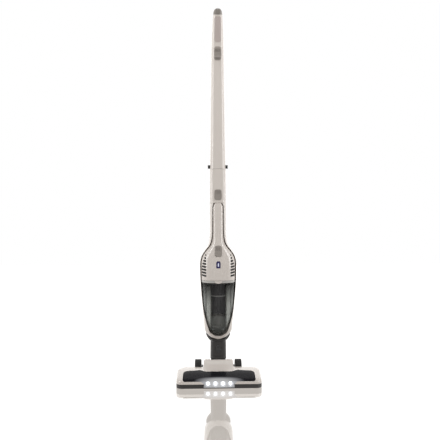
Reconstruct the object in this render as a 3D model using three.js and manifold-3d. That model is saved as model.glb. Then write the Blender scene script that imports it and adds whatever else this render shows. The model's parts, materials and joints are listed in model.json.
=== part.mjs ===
// A cordless two-in-one stick vacuum, standing upright and parked.
// Millimetres, +Z up, +X to the right of someone facing it, and -Y towards them.
// The origin is on the floor, at the middle of the footprint.
//
// A floor head carries a tilting yoke. A frame swivels on the yoke and holds a handheld vacuum,
// which pulls out to the front, and a handle folds down behind the frame.
import * as THREE from "three";
import { mergeVertices } from "three/addons/utils/BufferGeometryUtils.js";
import Module from "manifold-3d";

const wasm = await Module();
wasm.setup();

// ---- Driving dimensions -------------------------------------------------------------------------

const GAP = 0.35; // between pieces that meet
const WALL = 2.4; // moulded shells

const HEAD_WIDTH = 243; // at its widest, near the rear
const HEAD_FRONT_Y = -77.5;
const HEAD_REAR_Y = 26;
const HEAD_NARROWING = 0.018; // how much of its width the head has lost at the front
const HEAD_BOTTOM_Z = 2.2;
const HEAD_SPLIT_Z = 13.6; // the black base meets the white cover here
const HUMP_HALF_WIDTH = 44.5;
const SLOT_HALF_WIDTH = 24.3; // the opening in the hump for the neck
const SLOT_FRONT_Y = 13.6;

const WHEEL_RADIUS = 25;
const WHEEL_WIDTH = 20;
const WHEEL_INNER_X = 50;
const WHEEL_Y = -HEAD_FRONT_Y - WHEEL_RADIUS;

const BRUSH_Y = -47;
const BRUSH_Z = 14.5;
const BRUSH_TIP_RADIUS = 12.3;
const BRUSH_CORE_RADIUS = 8.5;
const BRUSH_HALF_LENGTH = 96;

const PULLEY_X = [99.5, 106.5];
const BRUSH_PULLEY_RADIUS = 6.5;
const MOTOR_PULLEY_RADIUS = 4.5;
const MOTOR_Y = 2;
const MOTOR_Z = 24;
const LAMP_X = [-31.5, -10.5, 10.5, 31.5];
const LAMP_Z = 14.2;
const LENS_RADIUS = 5.4;

const NECK_Y = 36; // the neck's vertical axis, and the tilt axis
const TILT_Z = 30;
const BARREL_RADIUS = 21.5;
const BARREL_HALF_LENGTH = 23;
const SWIVEL_Z = 60; // where the neck tube turns on the yoke
const NECK_HALF_WIDTH = 23.7;
const NECK_HALF_DEPTH = 22;
const DUCT_RADIUS = 14;

const CUP_BOTTOM_Z = 131;
const SEAT_Z = CUP_BOTTOM_Z - 4; // the gasket under the cup lies from here up
const CUP_TOP_Z = 294; // where the dust cup leaves the motor housing
const RIM_HEIGHT = 6.5;
const HANDHELD_TOP_Z = 519;
const HANDHELD_BACK_Y = 51.5; // flat back at the motor
const GRIP_BACK_Y = 34; // flat back at the grip
const SEAM_Y = 34; // where the frame's front and rear shells meet
const HANDHELD_SEAM_Y = 17; // where the handheld's housings meet
const CUP_AXIS_Y = 15; // the filter, the fan and its motor

const FRAME_TOP_Z = 619.3;
const HANDLE_BOTTOM_Z = 620;
const BEND_START_Z = 860; // above this the handle curves forward
const BEND_RADIUS = 480;
const HANDLE_Y = 34;
const HINGE_Y = 61.5; // the fold hinge, behind the tube
const HINGE_Z = 620;
const KNUCKLE_RADIUS = 7;

// Height, half width, front y and rear y of the whole upright body, up to the fold.
const BODY = [
  [119.8, 8, 9, 54],
  [121, 13, 7, 55],
  [123, 18.5, 4.5, 56],
  [125, 22.8, 2.5, 57],
  [128, 27, 0.3, 58],
  [131, 30.4, -1.5, 58.6],
  [135, 34, -4, 59.6],
  [139, 37.2, -6.3, 60.5],
  [143, 39.4, -8.2, 61.3],
  [148, 40.8, -10, 62],
  [157, 41.7, -12.2, 63],
  [172, 42.8, -15.5, 64],
  [200, 46, -18.5, 65],
  [232, 48.8, -20.8, 66],
  [261, 51.7, -22, 66.8],
  [291, 53.4, -22, 67],
  [322, 54.8, -20, 66.3],
  [350, 53.8, -17, 65],
  [366, 49, -14.5, 63],
  [381, 40, -11, 61],
  [394, 31, -7, 59.5],
  [408, 26.5, -3, 58],
  [430, 24.4, 2, 56.5],
  [470, 24, 8, 55],
  [520, 23.9, 12.5, 54],
  [FRAME_TOP_Z, 23.4, 14, 54],
];

// Height, half width and front y of the handheld: its cup, its motor housing and its grip.
const HANDHELD = [
  [CUP_BOTTOM_Z, 8, 8],
  [133, 12.5, 4.5],
  [136.5, 18, 0],
  [139.5, 22.3, -3],
  [143, 25.3, -5.5],
  [148, 27.5, -8],
  [159, 31, -11.5],
  [171, 35, -14.5],
  [183, 38.2, -16.5],
  [200, 42, -18],
  [225, 45.6, -20],
  [260, 48.8, -21.6],
  [CUP_TOP_Z, 51.2, -22.2],
  [330, 52, -20],
  [350, 51.2, -17.5],
  [366, 46.4, -15],
  [381, 36.4, -11.5],
  [394, 26, -7.5],
  [408, 20, -3.5],
  [430, 17, 1],
  [470, 16.4, 7],
  [508, 16, 11.5],
  [HANDHELD_TOP_Z, 12.5, 13.5],
];

// Distance up the handle, half width and half depth. The last rows close its end cap.
const HANDLE_END = 1071;
const HANDLE = [
  [HANDLE_BOTTOM_Z, 23.4, 20],
  [702, 21.8, 18.8],
  [790, 20.7, 17.8],
  [860, 19.6, 17.2],
  [905, 19, 16.7],
  [950, 18.4, 16.1],
  [995, 17.2, 15.5],
  [1035, 15.7, 14.6],
  [HANDLE_END, 13.3, 12.8],
  [1078, 11.8, 11.4],
  [1083, 9.4, 9.2],
  [1086, 6, 5.8],
  [1087, 2.6, 2.6],
];

const COLOURS = {
  white: [0xe9e6e1, 0.35, 0],
  grey: [0x8b8680, 0.5, 0],
  black: [0x1d1c1c, 0.5, 0],
  rubber: [0x161616, 0.85, 0],
  smoke: [0x3a3d3b, 0.15, 0],
  steel: [0xb4b6b8, 0.35, 0.9],
  copper: [0xb87333, 0.4, 0.8],
  board: [0x1f5a34, 0.6, 0],
  cell: [0x2c5a8c, 0.5, 0],
  filter: [0x2b2b2c, 0.9, 0],
  lamp: [0xffffff, 0.2, 0],
  bristle: [0x4a4a50, 0.9, 0],
};

// ---- Tools --------------------------------------------------------------------------------------

function solidOf(geometry) {
  const plain = geometry.index ? geometry.toNonIndexed() : geometry.clone();
  plain.deleteAttribute("normal");
  plain.deleteAttribute("uv");
  const merged = mergeVertices(plain, 1e-4);
  return new wasm.Manifold(
    new wasm.Mesh({
      numProp: 3,
      vertProperties: merged.attributes.position.array,
      triVerts: new Uint32Array(merged.index.array),
    }),
  );
}

function geometryOf(solid) {
  const mesh = solid.getMesh();
  const stride = mesh.numProp;
  const positions = new Float32Array(mesh.numVert * 3);
  for (let i = 0; i < mesh.numVert; i++) {
    positions.set(mesh.vertProperties.subarray(i * stride, i * stride + 3), i * 3);
  }
  const geometry = new THREE.BufferGeometry();
  geometry.setAttribute("position", new THREE.BufferAttribute(positions, 3));
  geometry.setIndex(new THREE.BufferAttribute(mesh.triVerts, 1));
  geometry.computeVertexNormals();
  return geometry;
}

const root = new THREE.Group();

// Adds a piece. Offcuts left loose beside it by a cut are dropped.
function add(name, solid, colour) {
  const [color, roughness, metalness] = COLOURS[colour];
  const material = new THREE.MeshStandardMaterial({ color, roughness, metalness });
  const [largest] = solid.decompose().sort((a, b) => b.volume() - a.volume());
  const mesh = new THREE.Mesh(geometryOf(largest), material);
  mesh.name = name;
  root.add(mesh);
}

function shapeOf(points) {
  return new THREE.Shape(points.map(([a, b]) => new THREE.Vector2(a, b)));
}

// An outline given in (y, z), drawn out from x0 to x1.
function alongX(points, x0, x1) {
  const geometry = new THREE.ExtrudeGeometry(shapeOf(points), { depth: x1 - x0, bevelEnabled: false });
  const basis = new THREE.Matrix4().makeBasis(
    new THREE.Vector3(0, 1, 0),
    new THREE.Vector3(0, 0, 1),
    new THREE.Vector3(1, 0, 0),
  );
  return solidOf(geometry.applyMatrix4(basis).translate(x0, 0, 0));
}

// An outline given in (x, y), drawn out from z0 to z1.
function alongZ(points, z0, z1) {
  const geometry = new THREE.ExtrudeGeometry(shapeOf(points), { depth: z1 - z0, bevelEnabled: false });
  return solidOf(geometry.translate(0, 0, z0));
}

// An outline given in (x, z), drawn out from y0 to y1.
function alongY(points, y0, y1) {
  const geometry = new THREE.ExtrudeGeometry(shapeOf(points), { depth: y1 - y0, bevelEnabled: false });
  return solidOf(geometry.rotateX(Math.PI / 2).translate(0, y1, 0));
}

function box(x0, x1, y0, y1, z0, z1) {
  const geometry = new THREE.BoxGeometry(x1 - x0, y1 - y0, z1 - z0);
  return solidOf(geometry.translate((x0 + x1) / 2, (y0 + y1) / 2, (z0 + z1) / 2));
}

function rodX(radius, x0, x1, y, z, sides = 20) {
  const geometry = new THREE.CylinderGeometry(radius, radius, x1 - x0, sides);
  return solidOf(geometry.rotateZ(Math.PI / 2).translate((x0 + x1) / 2, y, z));
}

function rodY(radius, y0, y1, x, z, sides = 16) {
  const geometry = new THREE.CylinderGeometry(radius, radius, y1 - y0, sides);
  return solidOf(geometry.translate(x, (y0 + y1) / 2, z));
}

function rodZ(radius, z0, z1, x, y, sides = 24, topRadius = radius) {
  const geometry = new THREE.CylinderGeometry(topRadius, radius, z1 - z0, sides);
  return solidOf(geometry.rotateX(Math.PI / 2).translate(x, y, (z0 + z1) / 2));
}

// The corners of a rectangle from (a0, b0) to (a1, b1), each rounded by an arc.
function roundedRect(a0, a1, b0, b1, radius, steps = 3, farRadius = radius) {
  const corners = [
    [a1 - farRadius, b1 - farRadius, farRadius, 0],
    [a0 + farRadius, b1 - farRadius, farRadius, 1],
    [a0 + radius, b0 + radius, radius, 2],
    [a1 - radius, b0 + radius, radius, 3],
  ];
  return corners.flatMap(([a, b, r, quarter]) =>
    Array.from({ length: steps + 1 }, (_, i) => {
      const angle = ((quarter + i / steps) * Math.PI) / 2;
      return [a + r * Math.cos(angle), b + r * Math.sin(angle)];
    }),
  );
}

// A smooth row of values at height z, from a table whose first column is the height.
function smooth(table, z) {
  const last = table.length - 1;
  let i = table.findIndex((row) => z < row[0]) - 1;
  if (z <= table[0][0]) i = 0;
  if (i < 0) i = last - 1;
  const slope = (k, c) => {
    const below = Math.max(k - 1, 0);
    const above = Math.min(k + 1, last);
    return (table[above][c] - table[below][c]) / (table[above][0] - table[below][0]);
  };
  const step = table[i + 1][0] - table[i][0];
  const t = Math.min(Math.max((z - table[i][0]) / step, 0), 1);
  return table[i].slice(1).map((value, k) => {
    const c = k + 1;
    const rise = table[i + 1][c];
    return (
      value * (1 + 2 * t) * (1 - t) ** 2 +
      slope(i, c) * step * t * (1 - t) ** 2 +
      rise * t * t * (3 - 2 * t) +
      slope(i + 1, c) * step * t * t * (t - 1)
    );
  });
}

// One ring of a loft: a superellipse across x and an axis that leans by `lean` from +Y.
function ring({ y, z, lean = 0, width, front, rear, power = 2.6, count = 20 }) {
  const points = [];
  for (let i = 0; i < count; i++) {
    const angle = (2 * Math.PI * (i + 0.5)) / count;
    const c = Math.cos(angle);
    const s = Math.sin(angle);
    const x = width * Math.sign(c) * Math.abs(c) ** (2 / power);
    const depth = (s > 0 ? rear : front) * Math.sign(s) * Math.abs(s) ** (2 / power);
    points.push([x, y + depth * Math.cos(lean), z + depth * Math.sin(lean)]);
  }
  return points;
}

// Joins rings, each turning counter-clockwise as seen from above, into a closed body.
function loft(rings) {
  const count = rings[0].length;
  const indices = [];
  rings.slice(1).forEach((_, level) => {
    for (let i = 0; i < count; i++) {
      const a = level * count + i;
      const b = level * count + ((i + 1) % count);
      indices.push(a, b, b + count, a, b + count, a + count);
    }
  });
  const top = (rings.length - 1) * count;
  for (let i = 1; i < count - 1; i++) {
    indices.push(0, i + 1, i, top, top + i, top + i + 1);
  }
  const geometry = new THREE.BufferGeometry();
  geometry.setAttribute("position", new THREE.Float32BufferAttribute(rings.flat(2), 3));
  geometry.setIndex(indices);
  return solidOf(geometry);
}

function levels(table, low, high) {
  const inside = table.map((row) => row[0]).filter((z) => z > low + 0.5 && z < high - 0.5);
  return [low, ...inside, high];
}

const hull = (table, low, high, makeRing) => loft(levels(table, low, high).map(makeRing));

// The upright body's outer surface, moved in by `inset`.
function bodyLoft(low, high, inset = 0) {
  return hull(BODY, low, high, (z) => {
    const [width, front, rear] = smooth(BODY, z);
    const y = Math.min(30, (front + rear) / 2);
    return ring({
      y,
      z,
      width: Math.max(width - inset, 1),
      front: y - front - inset,
      rear: rear - y - inset,
    });
  });
}

// The flat back of the handheld, which steps forward from the motor to the grip.
function backY(z) {
  const t = THREE.MathUtils.clamp((z - 385) / 50, 0, 1);
  return THREE.MathUtils.lerp(HANDHELD_BACK_Y, GRIP_BACK_Y, t * t * (3 - 2 * t));
}

// The handheld's outer surface, moved in by `inset`, with its widest part well back.
function handheldLoft(low, high, inset = 0) {
  return hull(HANDHELD, low, high, (z) => {
    const [width, front] = smooth(HANDHELD, z);
    const rear = backY(z);
    const y = THREE.MathUtils.lerp(front, rear, 0.72);
    return ring({
      y,
      z,
      width: Math.max(width - inset, 1),
      front: y - front - inset,
      rear: rear - y - inset,
      power: 2.7,
    });
  });
}

// What the handheld needs to leave to the front: its own shape, swept forward.
function dockingSpace(clearance) {
  const low = CUP_BOTTOM_Z - clearance;
  const high = HANDHELD_TOP_Z + clearance;
  const right = levels(HANDHELD, low, high).map((z) => [smooth(HANDHELD, z)[0] + clearance, z]);
  const outline = [...right, ...right.map(([x, z]) => [-x, z]).reverse()];
  return alongY(outline, -150, 26).add(handheldLoft(low, high, -clearance));
}

// The middle of the handle at a distance s up it: its y, its z and its forward lean.
function handlePath(s) {
  const lean = Math.max(s - BEND_START_Z, 0) / BEND_RADIUS;
  const straight = Math.min(s, BEND_START_Z);
  return [HANDLE_Y - BEND_RADIUS * (1 - Math.cos(lean)), straight + BEND_RADIUS * Math.sin(lean), lean];
}

// The handle's outer surface, moved in by `inset`.
function handleLoft(low, high, inset = 0) {
  return hull(HANDLE, low, high, (s) => {
    const [width, depth] = smooth(HANDLE, s);
    const [y, z, lean] = handlePath(s);
    const half = Math.max(depth - inset, 1);
    return ring({ y, z, lean, width: Math.max(width - inset, 1), front: half, rear: half, power: 2.5 });
  });
}

// Everything in front of the middle of the handle, moved back by `shift`.
function handleFrontSide(shift) {
  const middle = levels(HANDLE, 600, 1100).map((s) => {
    const [y, z, lean] = handlePath(s);
    return [y + shift * Math.cos(lean), z + shift * Math.sin(lean)];
  });
  return alongX([...middle.reverse(), [-150, 600], [-150, 1120]], -40, 40);
}

const halfSpace = (side) => box(-200, 200, side[0], side[1], -10, 1200);
const mirrored = (solid) => solid.mirror([1, 0, 0]);
const join = (...solids) => solids.reduce((all, solid) => all.add(solid));
const cut = (solid, ...tools) => tools.reduce((left, tool) => left.subtract(tool), solid);

function addPair(name, rightSolid, colour) {
  add(`${name}_right`, rightSolid, colour);
  add(`${name}_left`, mirrored(rightSolid), colour);
}

// ---- Floor head ---------------------------------------------------------------------------------

function headPlan(inset) {
  const half = HEAD_WIDTH / 2 - inset;
  const plan = roundedRect(-half, half, HEAD_FRONT_Y + inset, HEAD_REAR_Y - inset, 16, 5, 24);
  return plan.map(([x, y]) => {
    const forward = Math.min((HEAD_REAR_Y - 24 - y) / (HEAD_REAR_Y - 24 - HEAD_FRONT_Y), 1);
    return [x * (1 - HEAD_NARROWING * Math.max(forward, 0)), y];
  });
}

// The side profile of the white cover, with its top lowered by `drop`.
function headProfile(drop) {
  const top = [
    [HEAD_REAR_Y, 33],
    [22, 36.6],
    [0, 36.6],
    [-20, 35.2],
    [-40, 32.2],
    [-58, 28.4],
    [-69, 25],
    [-75, 21],
    [HEAD_FRONT_Y, 16.5],
  ];
  const bottom = HEAD_SPLIT_Z - drop;
  return [[HEAD_FRONT_Y, bottom], [HEAD_REAR_Y, bottom], ...top.map(([y, z]) => [y, z - drop])];
}

function humpProfile(drop, rear) {
  const top = [
    [rear, 32],
    [rear - 5, 45],
    [rear - 16, 54],
    [22, 58],
    [14, 58],
    [9, 54],
    [0, 46],
    [-12, 38.5],
    [-22, 34],
  ];
  const bottom = HEAD_SPLIT_Z - drop;
  return [[-22, bottom], [rear, bottom], ...top.map(([y, z]) => [y, z - drop])];
}

function humpBlock(drop, inset) {
  const low = HUMP_HALF_WIDTH - inset;
  const high = low - 2.5;
  const sides = [[-low, 0], [low, 0], [low, 34], [high, 60], [-high, 60], [-low, 34]];
  return alongX(humpProfile(drop, 54 - inset), -60, 60).intersect(alongY(sides, -60, 80));
}

function podBlock(grow) {
  const outline = [[-43, 4.4], [43, 4.4], [42, 13], [50, 21.4], [-50, 21.4], [-42, 13]];
  const grown = outline.map(([x, z]) => [x + Math.sign(x) * grow, z + (z > 10 ? grow : -grow)]);
  return alongY(grown, HEAD_FRONT_Y + 0.5 - grow * 6, -65 + grow);
}

function windowPrism(grow) {
  const right = [
    [101, -90],
    [101, -34],
    [97, -22],
    [92, -18.5],
    [70, -16],
    [57, -12],
    [51, -13.5],
    [38, -25],
  ];
  const grown = right.map(([x, y]) => [x + grow, y + grow]);
  const left = grown.map(([x, y]) => [-x, y]).reverse();
  return alongZ([...grown, ...left], 21.5 - grow, 60);
}

function addHeadCover() {
  const outer = alongX(headProfile(0), -130, 130).intersect(alongZ(headPlan(0), 0, 60));
  const inner = alongX(headProfile(WALL), -130, 130).intersect(alongZ(headPlan(WALL), 0, 60));
  const slab = cut(outer, inner, humpBlock(0, 0));
  add("head_window", slab.intersect(windowPrism(0)).subtract(podBlock(GAP)), "smoke");
  const slotWalls = box(-26.7, 26.7, SLOT_FRONT_Y - WALL, 70, 0, 70);
  const hollow = join(inner, humpBlock(WALL, WALL)).subtract(slotWalls);
  const slot = box(-SLOT_HALF_WIDTH, SLOT_HALF_WIDTH, SLOT_FRONT_Y, 70, 0, 70);
  const ductHole = box(-17.35, 17.35, 0, 20, HEAD_SPLIT_Z - 1, 30.85);
  const pinHole = rodX(5.35, -30, 30, NECK_Y, TILT_Z);
  const shell = cut(join(outer, humpBlock(0, 0)), hollow, slot, ductHole, pinHole);
  add("head_cover", cut(shell, windowPrism(GAP), podBlock(GAP)), "white");
  addPair("tilt_pin", join(rodX(5, 16, 29, NECK_Y, TILT_Z), rodX(8, 27.1, 29, NECK_Y, TILT_Z)), "steel");
}

function addHeadBase() {
  const top = HEAD_SPLIT_Z - GAP;
  const floor = HEAD_BOTTOM_Z + 2.5;
  const plate = alongZ(headPlan(0), HEAD_BOTTOM_Z, top);
  const tail = box(-HUMP_HALF_WIDTH, HUMP_HALF_WIDTH, 10, 54, HEAD_BOTTOM_Z, top);
  const armSide = [[20, 3], [54, 3], [61, 12], [62, 26], [57, 33], [48, 33], [27, 24], [27, top], [20, top]];
  const arm = alongX(armSide, HUMP_HALF_WIDTH + 0.5, WHEEL_INNER_X - 0.5);
  const tray = alongZ(headPlan(WALL), floor, 20).subtract(box(-50, 50, -10, 70, 0, 30));
  const wells = join(
    box(-98, 98, BRUSH_Y - 15, BRUSH_Y + 15, 0, 20),
    box(-SLOT_HALF_WIDTH, SLOT_HALF_WIDTH, SLOT_FRONT_Y, 70, floor, 20),
  );
  const walls = join(
    box(-98, 98, BRUSH_Y - 17, BRUSH_Y - 15.2, 4, top),
    box(-98, 98, BRUSH_Y + 15.2, BRUSH_Y + 17, 4, top),
  );
  const base = join(cut(join(plate, tail), tray, wells), walls, arm, mirrored(arm));
  const axleHole = rodX(4.35, -60, 60, WHEEL_Y, WHEEL_RADIUS);
  add("head_base", cut(base, podBlock(GAP), axleHole), "black");
  addPair("front_glide", alongZ(roundedRect(98, 109, -70, -54, 4), 0, HEAD_BOTTOM_Z - 0.3), "rubber");
}

function addLamps() {
  const holes = LAMP_X.map((x) => rodY(LENS_RADIUS + GAP, -90, -60, x, LAMP_Z, 24));
  add("lamp_reflector", cut(podBlock(0), ...holes), "steel");
  LAMP_X.forEach((x, i) => add(`lamp_lens_${i + 1}`, rodY(LENS_RADIUS, -76.6, -67, x, LAMP_Z, 24), "lamp"));
  add("lamp_board", box(-38, 38, -64, -62.4, 13.8, 22), "board");
}

function addHeadDrive() {
  const can = rodX(9, 46, 90, MOTOR_Y, MOTOR_Z);
  const boss = rodX(4, 89, 93, MOTOR_Y, MOTOR_Z);
  add("brush_motor", join(can, boss), "steel");
  const shaft = rodX(2, 93.4, PULLEY_X[1] + 1, MOTOR_Y, MOTOR_Z);
  add("motor_pulley", shaft.add(rodX(MOTOR_PULLEY_RADIUS, ...PULLEY_X, MOTOR_Y, MOTOR_Z, 24)), "steel");
  add("drive_belt", beltLoop(2).subtract(beltLoop(GAP)), "rubber");
  add("brush_bearing_left", bearingBlock(-108, -99.5), "grey");
  add("brush_bearing_right", bearingBlock(108, 113.5), "grey");
  const outer = box(-17, 17, -28, 13.2, HEAD_SPLIT_Z, 30.5);
  add("suction_duct", outer.subtract(box(-15, 15, -40, 20, HEAD_SPLIT_Z + 2, 28.5)), "black");
}

// The outline around both pulleys, `reach` beyond them.
function beltLoop(reach) {
  const dy = MOTOR_Y - BRUSH_Y;
  const dz = MOTOR_Z - BRUSH_Z;
  const along = Math.atan2(dz, dy);
  const open = Math.acos((BRUSH_PULLEY_RADIUS - MOTOR_PULLEY_RADIUS) / Math.hypot(dy, dz));
  const arc = (y, z, radius, from, to) =>
    Array.from({ length: 11 }, (_, i) => {
      const angle = along + THREE.MathUtils.lerp(from, to, i / 10);
      return [y + radius * Math.cos(angle), z + radius * Math.sin(angle)];
    });
  const brushSide = arc(BRUSH_Y, BRUSH_Z, BRUSH_PULLEY_RADIUS + reach, open, 2 * Math.PI - open);
  const motorSide = arc(MOTOR_Y, MOTOR_Z, MOTOR_PULLEY_RADIUS + reach, -open, open);
  const margin = reach > 1 ? 0.5 : -2;
  return alongX([...brushSide, ...motorSide], PULLEY_X[0] + margin, PULLEY_X[1] - margin);
}

function bearingBlock(x0, x1) {
  const block = box(x0, x1, BRUSH_Y - 6, BRUSH_Y + 6, 5.9, 21);
  return block.subtract(rodX(3.35, x0 - 1, x1 + 1, BRUSH_Y, BRUSH_Z));
}

function addBrush() {
  const body = rodX(BRUSH_CORE_RADIUS, -BRUSH_HALF_LENGTH, BRUSH_HALF_LENGTH, BRUSH_Y, BRUSH_Z, 24);
  add("brush_core", body.add(rodX(3, -107, 112, BRUSH_Y, BRUSH_Z, 16)), "grey");
  const pulley = rodX(BRUSH_PULLEY_RADIUS, ...PULLEY_X, BRUSH_Y, BRUSH_Z, 28);
  add("brush_pulley", pulley.subtract(rodX(3.35, 90, 110, BRUSH_Y, BRUSH_Z, 16)), "black");
  add("bristle_row_1", bristleRow(0), "bristle");
  add("bristle_row_2", bristleRow(Math.PI), "bristle");
}

// A row of bristles wound half a turn round the core, in a V that sweeps dirt to the middle.
function bristleRow(start) {
  const steps = 16;
  const rings = Array.from({ length: steps + 1 }, (_, i) => {
    const x = THREE.MathUtils.lerp(-94, 94, i / steps);
    const angle = start + (Math.PI * Math.abs(x)) / 188;
    const corners = [[9, -1.6], [BRUSH_TIP_RADIUS, -1.2], [BRUSH_TIP_RADIUS, 1.2], [9, 1.6]];
    return corners.map(([r, t]) => [
      x,
      BRUSH_Y + r * Math.cos(angle) - t * Math.sin(angle),
      BRUSH_Z + r * Math.sin(angle) + t * Math.cos(angle),
    ]);
  });
  return loft(rings);
}

function addWheels() {
  const outer = WHEEL_INNER_X + WHEEL_WIDTH;
  const bore = rodX(4.35, 40, 80, WHEEL_Y, WHEEL_RADIUS);
  const dish = rodX(14, outer - 3, outer + 5, WHEEL_Y, WHEEL_RADIUS);
  const hub = rodX(19.3, WHEEL_INNER_X + 0.7, outer - 0.7, WHEEL_Y, WHEEL_RADIUS, 32);
  addPair("rear_wheel", cut(hub, bore, dish), "black");
  const tyre = rodX(WHEEL_RADIUS, WHEEL_INNER_X, outer, WHEEL_Y, WHEEL_RADIUS, 40);
  addPair("rear_tyre", tyre.subtract(rodX(19.75, 40, 80, WHEEL_Y, WHEEL_RADIUS, 32)), "rubber");
  const axle = join(
    rodX(4, HUMP_HALF_WIDTH + 0.6, outer - 2.4, WHEEL_Y, WHEEL_RADIUS),
    rodX(7, outer - 2.6, outer - 1, WHEEL_Y, WHEEL_RADIUS),
  );
  addPair("wheel_axle", axle, "steel");
}

// ---- Yoke, neck and frame -----------------------------------------------------------------------

function addYoke() {
  const barrel = rodX(BARREL_RADIUS, -BARREL_HALF_LENGTH, BARREL_HALF_LENGTH, NECK_Y, TILT_Z, 36);
  const post = loft([
    ring({ y: NECK_Y, z: 38, width: 21, front: 17, rear: 17 }),
    ring({ y: NECK_Y, z: SWIVEL_Z, width: 22.5, front: 20.5, rear: 20.5 }),
  ]);
  const bore = join(
    rodZ(DUCT_RADIUS, TILT_Z, SWIVEL_Z + 5, 0, NECK_Y),
    box(-13, 13, 0, NECK_Y, 19, 34),
    rodX(5.35, 15, 40, NECK_Y, TILT_Z),
    rodX(5.35, -40, -15, NECK_Y, TILT_Z),
  );
  add("neck_yoke", join(barrel, post).subtract(bore), "black");
}

function neckSurface(inset) {
  const section = (z, width, depth, y = NECK_Y) => {
    return ring({ y, z, width: width - inset, front: depth - inset, rear: depth - inset, power: 3.4 });
  };
  return loft([section(SWIVEL_Z + GAP, NECK_HALF_WIDTH, NECK_HALF_DEPTH), section(118, 23, NECK_HALF_DEPTH)]);
}

function collarSurface(grow) {
  const rows = [
    [110 - grow, 23.5],
    [112.6, 27],
    [118.6, 31.8],
    [124.6, 35.1],
    [130.5, 36.4],
    [136, 36.7],
    [138.5 + grow, 35.6],
  ];
  return loft(
    rows.map(([z, width]) => ring({ y: 44, z, width: width + grow, front: 18 + grow, rear: 13 + grow })),
  );
}

function addNeck() {
  const bore = rodZ(DUCT_RADIUS, 50, 140, 0, NECK_Y).add(rodZ(18, SEAT_Z, 145, 0, NECK_Y));
  const oval = (grow) =>
    Array.from({ length: 20 }, (_, i) => {
      const angle = (i * Math.PI) / 10;
      return [(8 + grow) * Math.cos(angle), 90 + (12 + grow) * Math.sin(angle)];
    });
  const body = join(neckSurface(0), collarSurface(0).subtract(dockingSpace(3)));
  add("neck_tube", cut(body, bore, alongY(oval(GAP), -10, 19.6)), "black");
  add("neck_button", alongY(oval(0), 13.2, 17.2), "black");
}

// A push button that follows the surface it sits in.
function buttonIn(surface, outline, proud, depth) {
  return alongY(outline, -60, 26).intersect(surface(-proud)).subtract(surface(depth));
}

function frameSurface(inset) {
  const closed = Math.max(inset, 0);
  return bodyLoft(BODY[0][0] + closed, FRAME_TOP_Z - closed, inset);
}

const releaseOutline = (grow) => roundedRect(-10 - grow, 10 + grow, 528 - grow, 558 + grow, 6, 4);

function knuckle(x0, x1, up) {
  const z = up ? [HINGE_Z + GAP, HINGE_Z + 14] : [HINGE_Z - 14, FRAME_TOP_Z];
  const lug = join(rodX(KNUCKLE_RADIUS, x0, x1, HINGE_Y, HINGE_Z, 24), box(x0, x1, 51, HINGE_Y, ...z));
  return lug.subtract(rodX(3.35, -40, 40, HINGE_Y, HINGE_Z));
}

function addFrame() {
  const walls = cut(frameSurface(0), dockingSpace(0.5), frameSurface(WALL).subtract(dockingSpace(2.9)));
  const gasket = rodZ(17.5, SEAT_Z + 0.5, SEAT_Z + 3.2, 0, NECK_Y);
  const frame = cut(
    walls,
    rodZ(DUCT_RADIUS, 100, 136, 0, NECK_Y),
    collarSurface(GAP),
    rodZ(18, SEAT_Z, 140, 0, NECK_Y),
    rodY(5, 40, 60, 0, 575),
    alongY(releaseOutline(GAP), -20, 24),
  );
  add("frame_front_shell", frame.intersect(halfSpace([-90, SEAM_Y - GAP / 2])), "white");
  const lugs = join(knuckle(8, 14, false), knuckle(-14, -8, false));
  add("frame_rear_shell", frame.intersect(halfSpace([SEAM_Y + GAP / 2, 90])).add(lugs), "white");
  add("dock_gasket", gasket.subtract(rodZ(DUCT_RADIUS + 0.4, 120, 140, 0, NECK_Y)), "rubber");
  add("release_button", buttonIn(frameSurface, releaseOutline(0), 1.2, 6), "grey");
  add("charge_socket", rodY(4.65, 44, 54.5, 0, 575).subtract(rodY(2.6, 46, 60, 0, 575)), "black");
  add("fold_pin", rodX(3, -14, 14, HINGE_Y, HINGE_Z), "steel");
}

// ---- Handheld -----------------------------------------------------------------------------------

const HOUSING_BOTTOM_Z = CUP_TOP_Z + GAP;

function housingSurface(inset) {
  const closed = Math.max(inset, 0);
  return handheldLoft(HOUSING_BOTTOM_Z + closed, HANDHELD_TOP_Z - closed, inset);
}

const switchOutline = (grow) => roundedRect(-9.5 - grow, 9.5 + grow, 363 - grow, 394 + grow, 6, 4);

function lightOutline(grow) {
  return roundedRect(-6 - grow, 6 + grow, 330 - grow, 350 + grow, 1.5, 4, 5.5 + grow);
}

// Eight slanted slots up one side, each a little longer than the one above it.
function ventSlots() {
  const slots = Array.from({ length: 8 }, (_, i) => {
    const z = 364 - i * 8.5;
    const length = [3, 5.5, 8.5, 11, 12.5, 13, 13, 12.5][i];
    const rise = 0.14 * length;
    return [[35, z], [35 + length, z + rise], [35 + length, z + rise + 5.4], [35, z + 5.4]];
  });
  return join(...slots.map((outline) => alongY(outline, -40, 15)));
}

function addHousings() {
  const inlet = rodZ(16, 280, 300, 0, CUP_AXIS_Y);
  const slots = ventSlots();
  const walls = cut(
    housingSurface(0),
    housingSurface(2.2),
    inlet,
    slots,
    mirrored(slots),
    alongY(switchOutline(GAP), -60, 13),
    alongY(lightOutline(GAP), -60, 13),
  );
  const [front, rear] = [HANDHELD_SEAM_Y - GAP / 2, HANDHELD_SEAM_Y + GAP / 2];
  add("handheld_front_housing", walls.intersect(halfSpace([-90, front])), "white");
  add("handheld_rear_housing", walls.intersect(halfSpace([rear, 90])), "white");
  add("handheld_switch", buttonIn(housingSurface, switchOutline(0), 1.2, 6), "grey");
  add("battery_light", buttonIn(housingSurface, lightOutline(0), 0, 2.2), "lamp");
}

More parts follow.
